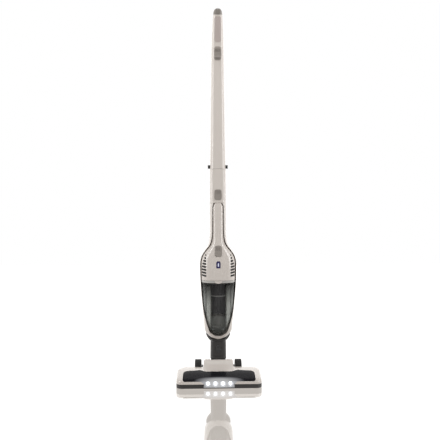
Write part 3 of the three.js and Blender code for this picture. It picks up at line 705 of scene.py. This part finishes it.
def head_plan(inset):
    """The head from above: a rectangle with round corners, a little narrower at its front."""
    half = HEAD_HALF_WIDTH - inset
    front, rear = HEAD_FRONT_Y + inset, HEAD_REAR_Y - inset
    plan = rounded(-half, half, front, rear, HEAD_FRONT_RADIUS, HEAD_REAR_RADIUS, 12)
    side = HEAD_REAR_Y - HEAD_REAR_RADIUS
    points = []
    for x, y in plan:
        forward = min(max((side - y) / (side - HEAD_FRONT_Y), 0), 1)
        points.append((x * (1 - HEAD_NARROWING * forward), y))
    return points


# The y and the height of the cover's top, and of the hump's.
HEAD_TOP = [
    (-77.5, 26.2), (-69, 28.4), (-58, 30.4), (-40, 33.4), (-20, 35.6), (0, 36.6), (22, 36.9), (26, 36.9)
]
HUMP_TOP = [
    (HUMP_FRONT_Y, 30), (-20, 34.5), (-12, 38.5), (0, 46), (7, 52.2), (12, 57),
    (15, 58.6), (22, 58.4), (34, 55.5), (44, 50), (50, 43), (HUMP_REAR_Y, 33),
]


def head_height(x, y):
    """The top of the cover, a little lower towards its ends."""
    rise = smooth(HEAD_TOP, y)[0]
    end = max(abs(x) - 60, 0) / 60
    return rise - 3.2 * end * end


def head_solid(name, inset, drop, bottom):
    """The cover's outer shape, moved in by inset and down by drop, with a rounded shoulder."""
    rings = [[(x, y, bottom) for x, y in head_plan(inset)]]
    for angle in stations(0, pi / 2, pi / 18):
        plan = head_plan(inset + HEAD_SHOULDER * (1 - cos(angle)))
        sunk = drop + HEAD_SHOULDER * (1 - sin(angle)) * 0.95
        rings.append([(x, y, head_height(x, y) - sunk) for x, y in plan])
    # The top closes in rings that shrink towards a ridge along the middle.
    for t in (0.12, 0.25, 0.4, 0.55, 0.7, 0.85, 0.97):
        ring = []
        for x, y in head_plan(inset + HEAD_SHOULDER):
            ridge_x = copysign(min(abs(x), 80), x)
            px, py = x + (ridge_x - x) * t, y + (HEAD_RIDGE_Y - y) * t
            ring.append((px, py, head_height(px, py) - drop))
        rings.append(ring)
    return loft(name, rings)


def hump_solid(name, inset, drop, bottom, rear):
    """The hump over the neck joint: sections across x, set along y."""
    rings = []
    for y in stations(HUMP_FRONT_Y + inset, rear, 2.0):
        height = smooth(HUMP_TOP, y)[0] - drop
        flare = 3.0 * max(1 - (y - HUMP_FRONT_Y) / 40, 0)
        low, high = 44.5 + flare - inset, 42.6 + flare - inset
        shoulder = min(4.5, (height - bottom) * 0.4)
        section = [(low, bottom), (low, bottom + (height - bottom) * 0.3)]
        for k in range(9):
            angle = k / 8 * pi / 2
            x = high - shoulder + shoulder * cos(angle)
            section.append((x, height - shoulder + shoulder * sin(angle)))
        section += [(high * 0.5, height + 0.5), (0, height + 0.7)]
        left = [(-x, z) for x, z in section[:-1]]
        # Seen from the rear, x runs the other way, so the ring starts on the left.
        ring = left + [section[-1]] + section[-2::-1]
        rings.append([(x, y, z) for x, z in ring])
    return loft(name, rings)


def housing_outline(grow):
    """The lamp housing from the front: a low box whose top flares out."""
    top = LAMP_HOUSING_TOP_Z
    outline = [(-43, 4.4), (43, 4.4), (42, 13), (50, top), (-50, top), (-42, 13)]
    return [(x + copysign(grow, x), z + (grow if z > 10 else -grow)) for x, z in outline]


def housing_hole():
    return prism("hole", housing_outline(GAP), "y", -90, -60)


def window_prism(grow):
    """The window from above: a raised shoulder each side and a flat middle."""
    right = [(WINDOW_HALF_WIDTH, -90), (WINDOW_HALF_WIDTH, -36), (101, -29), (99, -23.5), (95.5, -20)]
    right += [(91, -18.4), (80, -17), (70, -16), (60, -13.2), (56.5, -12.3), (53.5, -12.8)]
    right += [(50.5, -14.5), (41, -23), (37.5, -25)]
    grown = [(x + grow, y + grow) for x, y in right]
    left = [(-x, y) for x, y in reversed(grown)]
    plan = prism("window", grown + left, "z", 0, 60)
    half = WINDOW_HALF_WIDTH + grow
    side = rounded(-half, half, LAMP_HOUSING_TOP_Z - grow, 80, 6)
    return overlap(plan, prism("front", side, "y", -100, 60))


def add_head_shell():
    outer = head_solid("outer", 0, 0, HEAD_SPLIT_Z)
    inner = head_solid("inner", WALL, WALL, HEAD_SPLIT_Z - 3)
    hump = hump_solid("hump", 0, 0, HEAD_SPLIT_Z, HUMP_REAR_Y)
    slab = cut(copy(outer), copy(inner), copy(hump))
    window = cut(overlap(slab, window_prism(0)), housing_hole())
    finish(window, 0.5, "window", "head", WINDOW, "smoky_clear", "head_window")
    half, front = NECK_SLOT_HALF_WIDTH, NECK_SLOT_FRONT_Y
    hump_hollow = hump_solid("hollow", WALL, WALL, HEAD_SPLIT_Z - 3, HUMP_REAR_Y - WALL)
    slot_walls = block("slot_walls", (-half - WALL, half + WALL), (front - WALL, 70), (0, 70))
    shell = cut(
        join(outer, hump),
        cut(join(inner, hump_hollow), slot_walls),
        block("slot", (-half, half), (front, 70), (0, 70)),
        block("duct_hole", (-17 - GAP, 17 + GAP), (0, 20), (12.5 - GAP, 30.5 + GAP)),
        rod("pin_hole", "x", (NECK_Y, TILT_Z), 5 + GAP, -30, 30),
        window_prism(GAP),
        housing_hole(),
    )
    finish(shell, 0.6, "head_shell", "head", WHITE, "white_shell", "head_cover")


def add_lamps():
    """The lamp housing, with a stepped cup round each of its four domed lenses."""
    housing = prism("housing", housing_outline(0), "y", HEAD_FRONT_Y + 0.6, -65)
    cup = [(-90, 8.4), (-76.9, 8.0), (-74.6, 6.9), (-72, 5.75), (-60, 5.75)]
    dome = [(-76.4, 0.1), (-76.2, 1.8), (-75.6, 3.2), (-74.5, 4.3), (-73.2, 4.8), (-67, 4.8)]
    for i in range(1, 5):
        low, high = box_mm(f"lamp_lens_{i}")
        centre = ((low.x + high.x) / 2, (low.z + high.z) / 2)
        cut(housing, lathe("cup", "y", centre, cup, 40))
        lens = lathe("lens", "y", centre, dome, 40)
        finish(lens, 0, f"lamp_dome_{i}", "head", LAMP, "lamp", f"lamp_lens_{i}")
    finish(housing, 0.5, "lamp_housing", "head", REFLECTOR, "reflector", "lamp_reflector")


def add_filament(verts, faces, x, angle, rng):
    """One bristle: a thin three-sided spike that strays a little from its tuft's line."""
    aside, lean = rng.uniform(-1.0, 1.0), rng.uniform(-0.10, 0.10)
    tip = rng.uniform(11.6, 12.25)
    base = len(verts)
    # Radius, thickness, spread along the roller and share of the lean, at the root and at the tip.
    for r, thick, out, share in ((8.7, 0.34, 0.7, 0.5), (tip, 0.26, 1.2, 1)):
        for turn in range(3):
            spin = 2 * pi * turn / 3
            a = angle + lean * share + thick * sin(spin) / r
            place = x + aside * out + thick * cos(spin)
            verts.append((place, BRUSH.y + r * cos(a), BRUSH.z + r * sin(a)))
    for i in range(3):
        j = (i + 1) % 3
        faces.append((base + i, base + j, base + 3 + j, base + 3 + i))
    faces += [(base + 2, base + 1, base), (base + 3, base + 4, base + 5)]


def add_brush():
    """Two rows of bristle tufts in a V round the roller, each tuft a small fan of filaments."""
    rng = random.Random(11)
    for row in (1, 2):
        verts, faces = [], []
        for x in range(-93, 94, 3):
            angle = pi * (row - 1 + abs(x) / 188)
            for _ in range(7):
                add_filament(verts, faces, x, angle, rng)
        tufts = make("tufts", verts, faces)
        finish(tufts, None, f"bristle_tufts_{row}", "brush", BRISTLE, "bristle", f"bristle_row_{row}")


def on_axle(name, radius, x0, x1, count=64):
    return rod(name, "x", (WHEEL.y, WHEEL.z), radius, x0, x1, count)


def tyre_solid():
    """The right tyre, with rounded shoulders and five fine grooves."""
    low, high = box_mm("rear_tyre_right")
    shoulder = [(0, 19.8), (0, 21), (0.3, 23.6), (1.6, 24.7), (3, 25)]
    profile = [(low.x + x, r) for x, r in shoulder] + [(high.x - x, r) for x, r in reversed(shoulder)]
    tyre = lathe("tyre", "x", (WHEEL.y, WHEEL.z), profile, 96)
    cut(tyre, on_axle("bore", 19.6, 40, 80))
    for x in (54, 57, 60, 63, 66):
        groove = on_axle("groove", 27, x - 0.5, x + 0.5, 96)
        cut(tyre, cut(groove, on_axle("floor", 24.4, 40, 80, 96)))
    return tyre


def wheel_solid():
    """The right wheel, with a dished face, six spokes and a boss."""
    disc = on_axle("disc", 19.3, 50.7, 69.3, 96)
    cut(disc, on_axle("dish", 16.6, 66, 80))
    centre = Matrix.Translation((0, WHEEL.y * MM, WHEEL.z * MM))
    for k in range(6):
        spoke = block("spoke", (62, 68.4), (-1.6, 1.6), (5, 17.6))
        join(disc, move(spoke, centre @ Matrix.Rotation(k * pi / 3, 4, "X")))
    join(disc, on_axle("boss", 9.0, 60, 66.8, 48))
    return cut(disc, on_axle("bore", 4 + GAP, 40, 80, 48), on_axle("seat", 7.4, 66, 80, 48))


def add_wheels():
    for label in ("right", "left"):
        tyre, wheel = tyre_solid(), wheel_solid()
        if label == "left":
            flip(tyre)
            flip(wheel)
        body = f"wheel_{label}"
        finish(tyre, 0.3, f"back_tyre_{label}", body, RUBBER, "rubber", f"rear_tyre_{label}")
        finish(wheel, 0.3, f"back_wheel_{label}", body, BLACK, "black_plastic", f"rear_wheel_{label}")


# ---- Neck and frame ----


def collar_solid(grow):
    rows = [(110 - grow, 23.5), (112.6, 27), (118.6, 31.8), (124.6, 35.1)]
    rows += [(130.5, 36.4), (136, 36.7), (138.5 + grow, 35.6)]
    rings = []
    for z in stations(rows[0][0], rows[-1][0], 1.5):
        rings.append(oval(44, z, smooth(rows, z)[0] + grow, 18 + grow, 13 + grow))
    return loft("collar", rings)


def neck_button_outline(grow):
    """The oval thumb button, 16 mm wide and 24 mm tall."""
    return [((8 + grow) * a, NECK_BUTTON_Z + (12 + grow) * b) for a, b in circle((0, 0), 1)]


def add_neck():
    rings = []
    for z in stations(SWIVEL_Z + GAP, 118, 2.0):
        # Two shallow grooves run round the tube, near its ends.
        groove = 0.7 if min(abs(z - 66), abs(z - 111)) < 1.2 else 0
        width = 23.7 - 0.7 * (z - SWIVEL_Z) / 58
        depth = 22 - groove
        rings.append(oval(NECK_Y, z, width - groove, depth, depth, power=3.4))
    body = join(loft("neck", rings), cut(collar_solid(0), docking_space(3)))
    cut(body, post("bore", NECK_Y, AIRWAY_RADIUS, 50, 140))
    cut(body, post("seat", NECK_Y, GASKET_RADIUS, SEAT_Z, 145))
    cut(body, prism("oval", neck_button_outline(GAP), "y", -10, 19.6))
    finish(body, 0.5, "neck_column", "frame", BLACK, "black_plastic", "neck_tube")
    low, high = box_mm("neck_button")
    bowl = [(low.y - 30, 24), (low.y - 6, 20), (low.y + 0.5, 6), (low.y + 0.7, 0.1)]
    pad = prism("face", neck_button_outline(0), "y", low.y, high.y)
    cut(pad, lathe("dish", "y", (0, NECK_BUTTON_Z), bowl, 48))
    finish(pad, 0.7, "neck_pad", "neck_catch", BLACK_GLOSS, "black_plastic", "neck_button")


def knuckle(x0, x1, up):
    z = (HINGE.z + GAP, HINGE.z + 14) if up else (HINGE.z - 14, FRAME_TOP_Z)
    lug = join(rod("lug", "x", (HINGE.y, HINGE.z), 7, x0, x1), block("root", (x0, x1), (51, HINGE.y), z))
    return cut(lug, rod("hole", "x", (HINGE.y, HINGE.z), 3.35, -40, 40))


def add_frame():
    bottom = BODY[0][0]
    frame_solid = body_loft(bottom, FRAME_TOP_Z)
    hollow = cut(body_loft(bottom + WALL, FRAME_TOP_Z - WALL, WALL), docking_space(2.9))
    walls = cut(
        frame_solid,
        docking_space(0.5),
        hollow,
        post("duct", NECK_Y, AIRWAY_RADIUS, 100, 136),
        collar_solid(GAP),
        post("seat", NECK_Y, GASKET_RADIUS, SEAT_Z, 140),
        rod("socket", "y", (0, 575), 5, 40, 60),
        prism("hole", release_outline(GAP), "y", -20, 24),
    )
    front, rear = front_and_rear(walls, SEAM_Y)
    join(rear, knuckle(8, 14, False), knuckle(-14, -8, False))
    finish(front, 0.6, "front_shell", "frame", WHITE, "white_shell", "frame_front_shell")
    finish(rear, 0.6, "back_shell", "frame", WHITE, "white_shell", "frame_rear_shell")


def keep_largest(obj):
    """Drops any loose offcut that a cut has left, keeping the piece with the most points."""

    def change(bm):
        left = set(bm.verts)
        groups = []
        while left:
            group = [left.pop()]
            for vert in group:
                near = {edge.other_vert(vert) for edge in vert.link_edges} & left
                left -= near
                group.extend(near)
            groups.append(group)
        groups.sort(key=len)
        spare = [v for group in groups[:-1] for v in group]
        bmesh.ops.delete(bm, geom=spare, context="VERTS")

    return edit(obj, change)


def slab(front, rear):
    """Everything between two places along y."""
    return block("slab", (-99, 99), (front, rear), (0, 900))


def front_and_rear(walls, seam):
    """A shell's two halves, a gap apart at the seam, without loose offcuts."""
    front = overlap(copy(walls), slab(-99, seam - GAP / 2))
    rear = overlap(walls, slab(seam + GAP / 2, 99))
    return keep_largest(front), keep_largest(rear)


BUTTON_RISE = 1.2
BUTTON_DEPTH = 6
GROOVE_DEPTH = 0.7


def release_outline(grow):
    return rounded(-10 - grow, 10 + grow, 528 - grow, 558 + grow, 6)


def switch_outline(grow):
    return rounded(-9.5 - grow, 9.5 + grow, 363 - grow, 394 + grow, 6)


def pressed_button(surface, outline, middle_z, half_width):
    """A thumb button that follows the surface round it, with four grip grooves."""
    cap = overlap(prism("button", outline, "y", -60, 26), surface(-BUTTON_RISE))
    cut(cap, surface(BUTTON_DEPTH))
    for k in range(4):
        z = middle_z + (k - 1.5) * 2.6
        bar = rounded(-half_width, half_width, z - 0.55, z + 0.55, 0.5, steps=3)
        cut(cap, cut(prism("groove", bar, "y", -60, 26), surface(GROOVE_DEPTH - BUTTON_RISE)))
    return cap


# ---- Handheld ----

HOUSING_BOTTOM_Z = CUP_TOP_Z + GAP
VENT_X = 35
VENT_SLOPE = 0.14


def frame_surface(inset):
    return body_loft(BODY[0][0], FRAME_TOP_Z, inset)


def housing_surface(inset):
    closed = max(inset, 0)
    return handheld_loft(HOUSING_BOTTOM_Z + closed, HANDHELD_TOP_Z - closed, inset)


def light_outline(grow):
    return rounded(-6 - grow, 6 + grow, 330 - grow, 350 + grow, 1.5, 5.5 + grow)


def vent_slots():
    """Eight slanted slots up each side, most of them longer than the one above."""
    right = []
    for i, length in enumerate((3, 5.5, 8.5, 11, 12.5, 13, 13, 12.5)):
        z = 364 - i * 8.5
        outline = rounded(VENT_X, VENT_X + length, z, z + 5.4, 1.2, steps=4)
        slanted = [(x, height + (x - VENT_X) * VENT_SLOPE) for x, height in outline]
        right.append(prism("slot", slanted, "y", -40, 15))
    return [flip(copy(slot)) for slot in right] + right


def add_vent_shade_cloth():
    """A dark cloth inside the housing, with a plug that fills most of each slot; the cloth is near
    black, so it paints the shade inside the slots.
    """
    cloth = cut(handheld_loft(300, 374, 2.35), handheld_loft(298, 376, 3.4))
    cut(cloth, block("middle", (-33, 33), (-99, 99), (0, 900)))
    cut(cloth, slab(14, 99))
    layer = cut(handheld_loft(300, 374, 0.6), handheld_loft(298, 376, 2.6))
    join(cloth, overlap(join(*vent_slots()), layer))
    finish(cloth, 0, "vent_shade_cloth", "handheld", VENT_SHADE_CLOTH, "filter_cloth")


def add_housings():
    walls = cut(housing_surface(0), housing_surface(2.2), post("inlet", CUP_AXIS_Y, 16, 280, 300))
    cut(walls, *vent_slots())
    for outline in (switch_outline(GAP), light_outline(GAP)):
        cut(walls, prism("hole", outline, "y", -60, 13))
    front, rear = front_and_rear(walls, HANDHELD_SEAM_Y)
    finish(front, 0.5, "grip_front", "handheld", WHITE, "white_shell", "handheld_front_housing")
    finish(rear, 0.5, "grip_back", "handheld", WHITE, "white_shell", "handheld_rear_housing")


def add_buttons():
    release = pressed_button(frame_surface, release_outline(0), 550, 6.5)
    finish(release, 0.6, "release_pad", "release", BUTTON, "grey_button", "release_button")
    switch = pressed_button(housing_surface, switch_outline(0), 385, 6.2)
    finish(switch, 0.6, "switch_pad", "handheld_button", BUTTON, "grey_button", "handheld_switch")


def light_window(grow):
    window = rounded(-1.7 - grow, 1.7 + grow, 334.5 - grow, 344 + grow, 0.8)
    return prism("window", window, "y", -60, 26)


def add_battery_light():
    """The charge light: a dark arched outline with a pale lit window inside it."""
    arch = prism("light", light_outline(0), "y", -60, 26)
    light = cut(overlap(arch, housing_surface(0)), housing_surface(2.2))
    pale = overlap(copy(light), light_window(0))
    dark = cut(light, light_window(0.1))
    finish(dark, 0.3, "charge_light_frame", "handheld", LIGHT_BLUE, "indicator", "battery_light")
    finish(pale, 0.2, "charge_light_window", "handheld", LIGHT_WHITE, "indicator")


# ---- Dust cup ----


def latch_outline(grow):
    """The cup's latch from the front: flat at its top, with an arc below."""
    half = 10.8 + grow
    angles = [pi * (1 + i / 20) for i in range(21)]
    arc = [(half * cos(a), 292.5 + (6.6 + grow) * sin(a)) for a in angles]
    top = CUP_TOP_Z - GAP + grow
    return [*arc, (half, top), (-half, top)]


def latch_pocket():
    return prism("pocket", latch_outline(GAP), "y", -60, -18.2)


def add_cup():
    wall = handheld_loft(CUP_BOTTOM_Z, RIM_BOTTOM_Z - GAP)
    cut(wall, handheld_loft(CUP_BOTTOM_Z + 2.6, 300, 2.2))
    cut(wall, post("inlet", NECK_Y, 11, 120, 145), latch_pocket())
    finish(wall, 0.3, "cup_wall", "cup", CUP, "smoky_clear", "dust_cup")
    rim = handheld_loft(RIM_BOTTOM_Z, CUP_TOP_Z - GAP, step=1.2)
    cut(rim, handheld_loft(280, 300, 5.6), latch_pocket())
    finish(rim, 0.5, "cup_collar", "cup", PALE_GREY, "grey_plastic", "cup_rim")
    latch = prism("latch", latch_outline(0), "y", -24.6, -20.6)
    finish(latch, 0.8, "cup_tongue", "cup_catch", WHITE, "white_shell", "cup_latch")


def pleated(radius, depth, count, low, high):
    """A pleated sleeve, with a smooth band at each end and near the middle."""
    rings = []
    middle = (low + high) / 2 + 8
    for z in stations(low, high, 1.0):
        smooth_band = min(z - low, high - z, abs(z - middle)) < 2.2
        fold = 0.0 if smooth_band else depth
        ring = []
        for i in range(count * 6):
            a = 2 * pi * i / (count * 6)
            r = radius - fold * (0.5 + 0.5 * cos(a * count)) ** 1.4
            ring.append((r * cos(a), CUP_AXIS_Y + r * sin(a), z))
        rings.append(ring)
    return loft("pleats", rings)


def add_filter():
    low, high = box_mm("filter_sleeve")
    sleeve = cut(pleated(20.9, 1.7, 30, low.z, high.z), post("bore", CUP_AXIS_Y, 17.8, 190, 290))
    finish(sleeve, 0, "filter_pleats", "cup", FILTER, "filter_cloth", "filter_sleeve")
    ring = post("ring", CUP_AXIS_Y, 21.6, 246.6, 248.8, 64)
    cut(ring, post("bore", CUP_AXIS_Y, 21, 240, 255, 64))
    finish(ring, 0.15, "filter_band", "cup", GREY, "grey_plastic")


def add_inlet_tube():
    """The inlet tube, with two ports through its front and eight fine grooves round it."""
    low, high = box_mm("inlet_tube")
    tube = post("tube", INLET_Y, 17.4, low.z, high.z, 64)
    for x in (-7, 7):
        cut(tube, rod("port", "y", (x, 160), 2.6, 0, INLET_Y, 24))
    for k in range(8):
        z = 166 + 3.4 * k
        groove = post("groove", INLET_Y, 19, z, z + 0.8, 64)
        cut(tube, cut(groove, post("floor", INLET_Y, 17, 100, 300, 64)))
    cut(tube, post("bore", INLET_Y, 15.2, 140, 200, 64))
    finish(tube, 0.4, "inlet_pipe", "cup", GREY, "grey_plastic", "inlet_tube")


# ---- Handle ----


def switch_block(grow, room, y0, y1):
    """The power switch's outline, grown, and lengthened upwards by the room it slides into."""
    outline = rounded(-9.5 - grow, 9.5 + grow, -16 - grow, 16 + grow + room, 6)
    return on_handle(prism("switch", outline, "y", y0, y1), SWITCH_AT)


def pad_slot(grow):
    outline = rounded(-9 - grow, 9 + grow, -35 - grow, 35 + grow, 6)
    return on_handle(prism("pad", outline, "y", -40, 0), PAD_AT)


def add_handle():
    outer = handle_loft(HANDLE_BOTTOM, HANDLE_END)
    inner = handle_loft(HANDLE_BOTTOM + WALL, HANDLE_END - WALL, WALL)
    tray = overlap(switch_block(2.5, SWITCH_TRAVEL, -18, -8.5), copy(outer))
    button_hole = block("hole", (-60, 60), (28.6, 39.4), (620.9, 632.1))
    shell = cut(copy(outer), copy(inner), button_hole)
    front = join(overlap(copy(shell), handle_front_side(-GAP / 2)), tray)
    cut(front, switch_block(GAP, SWITCH_TRAVEL, -40, -11), pad_slot(GAP))
    rear = join(cut(shell, handle_front_side(GAP / 2)), knuckle(-7.6, 7.6, True))
    finish(front, 0.5, "handle_front", "handle", WHITE, "white_shell", "handle_front_shell")
    finish(rear, 0.5, "handle_back", "handle", WHITE, "white_shell", "handle_rear_shell")
    pad = overlap(cut(outer, inner), pad_slot(0))
    finish(pad, 0.4, "grip_strip", "handle", SOFT_GRIP, "soft_grip", "grip_pad")
    cap = handle_loft(HANDLE_END + GAP, HANDLE[-1][0], step=1.0)
    finish(cap, 0.4, "handle_cap", "handle", CAP, "black_plastic", "end_cap")


def add_power_switch():
    """A scooped slide with six grip grooves."""
    switch = switch_block(0, 0, -18, -11.35)
    scoop = lathe("scoop", "x", (-30, 0), [(-20, 14.4), (20, 14.4)], 72)
    cut(switch, on_handle(scoop, SWITCH_AT))
    for z in (-12.5, -9.5, -1.5, 1.5, 9.5, 12.5):
        groove = prism("groove", rounded(-7, 7, z - 0.8, z + 0.8, 0.7, steps=3), "y", -30, -16.2)
        cut(switch, on_handle(groove, SWITCH_AT))
    finish(switch, 0.5, "power_thumb", "power_slider", BUTTON, "grey_button", "power_switch")


def add_fold_buttons():
    """A ribbed button each side of the fold, held in by a flange."""
    for label in ("right", "left"):
        button = block("button", (19, 29.5), (29, 39), (621.3, 631.7))
        join(button, block("flange", (16, 19.01), (26.5, 41.5), (622.9, 631.7)))
        for y in (31.5, 34, 36.5):
            cut(button, block("rib", (29, 31), (y - 0.5, y + 0.5), (620, 633)))
        if label == "left":
            flip(button)
        names = (f"fold_thumb_{label}", f"fold_catch_{label}")
        finish(button, 0.8, *names, BLACK_GLOSS, "black_plastic", f"fold_button_{label}", segments=3)


# ---- Inside ----


def blade_outline(turn):
    """One swept blade from above, out along one side and back along the other."""
    outline = []
    for side in (1, -1):
        for i in range(7)[::side]:
            r = 5 + 19 * i / 6
            a = turn - 0.9 * (i / 6) ** 1.2 + side * 0.6 / r
            outline.append((r * cos(a), CUP_AXIS_Y + r * sin(a)))
    return outline


def add_fan():
    """The suction fan: a disc and a hub with nine swept blades."""
    low, high = box_mm("suction_fan")
    fan = post("disc", CUP_AXIS_Y, 25, 308.5, 311, 72)
    join(fan, post("hub", CUP_AXIS_Y, 6, low.z, high.z))
    for k in range(9):
        join(fan, prism("blade", blade_outline(2 * pi * k / 9), "z", 303, 309))
    finish(fan, 0.2, "fan_wheel", "fan", GREY, "grey_plastic", "suction_fan")


def dress_the_rest():
    """Materials for the CAD nodes that are kept as they are."""
    groups = (
        (BLACK, "head_base suction_duct filter_frame charge_socket neck_yoke brush_pulley"),
        (GREY, "brush_core brush_bearing_left brush_bearing_right"),
        (RUBBER, "front_glide_left front_glide_right dock_gasket motor_seal"),
        (STEEL, "tilt_pin_left tilt_pin_right wheel_axle_left wheel_axle_right fold_pin motor_pulley"),
        (CAN, "brush_motor suction_motor"),
        (WRAP, "battery_pack"),
    )
    for material, nodes in groups:
        for node in nodes.split():
            dress(node, material)
    dress("drive_belt", RUBBER, 0.15)
    dress("lamp_board", BOARD, 0.1)
    dress("control_board", BOARD, 0.1)


# ---- Camera, light and floor ----

CAMERA_HEIGHT = 0.469
CAMERA_DISTANCE = 1.600
CAMERA_TURN = radians(-1.3)
CAMERA_AIM = radians(0.226)
CAMERA_ROLL = radians(-0.16)
FOCAL_LENGTH = 43.904
ROOM_FRONT = 0.42
ROOM_BACK = 1.68


def add_camera():
    data = bpy.data.cameras.new("camera")
    data.lens = FOCAL_LENGTH
    camera = bpy.data.objects.new("camera", data)
    scene.collection.objects.link(camera)
    aim = Vector((0, NECK_Y * MM, CAMERA_HEIGHT))
    offset = Vector((sin(CAMERA_TURN), -cos(CAMERA_TURN), 0)) * CAMERA_DISTANCE
    camera.location = aim + offset
    upright = Matrix.Rotation(CAMERA_TURN - CAMERA_AIM, 4, "Z") @ Matrix.Rotation(pi / 2, 4, "X")
    camera.rotation_euler = (upright @ Matrix.Rotation(CAMERA_ROLL, 4, "Z")).to_euler()
    scene.camera = camera


def area_light(name, place, target, width, height, power):
    data = bpy.data.lights.new(name, "AREA")
    data.shape = "RECTANGLE"
    data.size = width
    data.size_y = height
    data.energy = power
    light = bpy.data.objects.new(name, data)
    light.location = place
    light.rotation_euler = (Vector(target) - Vector(place)).to_track_quat("-Z", "Y").to_euler()
    scene.collection.objects.link(light)


def add_lights():
    """A tall strip each side, and a softer panel above the front."""
    for name, x in (("left_strip", -1.2), ("right_strip", 1.2)):
        area_light(name, (x, -0.45, 1.0), (0, 0, 0.8), 0.5, 1.3, 10)
    area_light("top", (0, -0.75, 2.0), (0, -0.02, 0), 1.2, 1.0, 5.2)
    scene.view_settings.view_transform = "Standard"


def choose(tree, test, usual, other):
    """The shader `usual`, or `other` for the rays that pass the test."""
    mix = add_node(tree, "MixShader")
    tree.links.new(test, mix.inputs["Fac"])
    for place, shader in ((1, usual), (2, other)):
        tree.links.new(shader, mix.inputs[place])
    return mix.outputs["Shader"]


def add_room():
    """A room that is brighter behind the vacuum than in front, with a dim fill and a white backdrop."""
    world = bpy.data.worlds.new("studio")
    scene.world = world
    world.use_nodes = True
    tree = world.node_tree
    where = add_node(tree, "TexCoord")
    split = add_node(tree, "SeparateXYZ")
    tree.links.new(where.outputs["Generated"], split.inputs["Vector"])
    share = add_node(tree, "MapRange", From_Min=-0.5, From_Max=0.5, To_Min=ROOM_FRONT, To_Max=ROOM_BACK)
    tree.links.new(split.outputs["Y"], share.inputs["Value"])
    room = tree.nodes["Background"]
    set_inputs(room, Color=(1, 0.985, 0.97, 1))
    tree.links.new(share.outputs["Result"], room.inputs["Strength"])
    fill = add_node(tree, "Background", Color=(1, 0.975, 0.95, 1), Strength=0.25)
    backdrop = add_node(tree, "Background", Color=(1, 1, 1, 1))
    rays = add_node(tree, "LightPath").outputs
    lit_by = choose(tree, rays["Is Diffuse Ray"], room.outputs[0], fill.outputs[0])
    seen = choose(tree, rays["Is Camera Ray"], lit_by, backdrop.outputs[0])
    tree.links.new(seen, tree.nodes["World Output"].inputs["Surface"])


def add_floor():
    """A polished floor that glows like a light table and mirrors what stands on it."""
    floor = block("floor", (-4000, 4000), (-4000, 4000), (-20, -0.05))
    material, tree, shader = new_material("floor_white", Metallic=1.0, Roughness=0.04)
    grain = noise(tree, 3, 2)
    paint(tree, shader, grain, (0.3, (0.30, 0.32, 0.34)), (0.7, (0.315, 0.335, 0.355)))
    set_inputs(shader, Emission_Color=(1, 0.93, 0.86, 1), Emission_Strength=0.5)
    floor.data.materials.append(material)


add_camera()
add_lights()
add_room()
add_floor()
add_head_shell()
add_lamps()
add_brush()
add_wheels()
add_neck()
add_frame()
add_housings()
add_vent_shade_cloth()
add_buttons()
add_battery_light()
add_cup()
add_filter()
add_inlet_tube()
add_handle()
add_power_switch()
add_fold_buttons()
add_fan()
dress_the_rest()
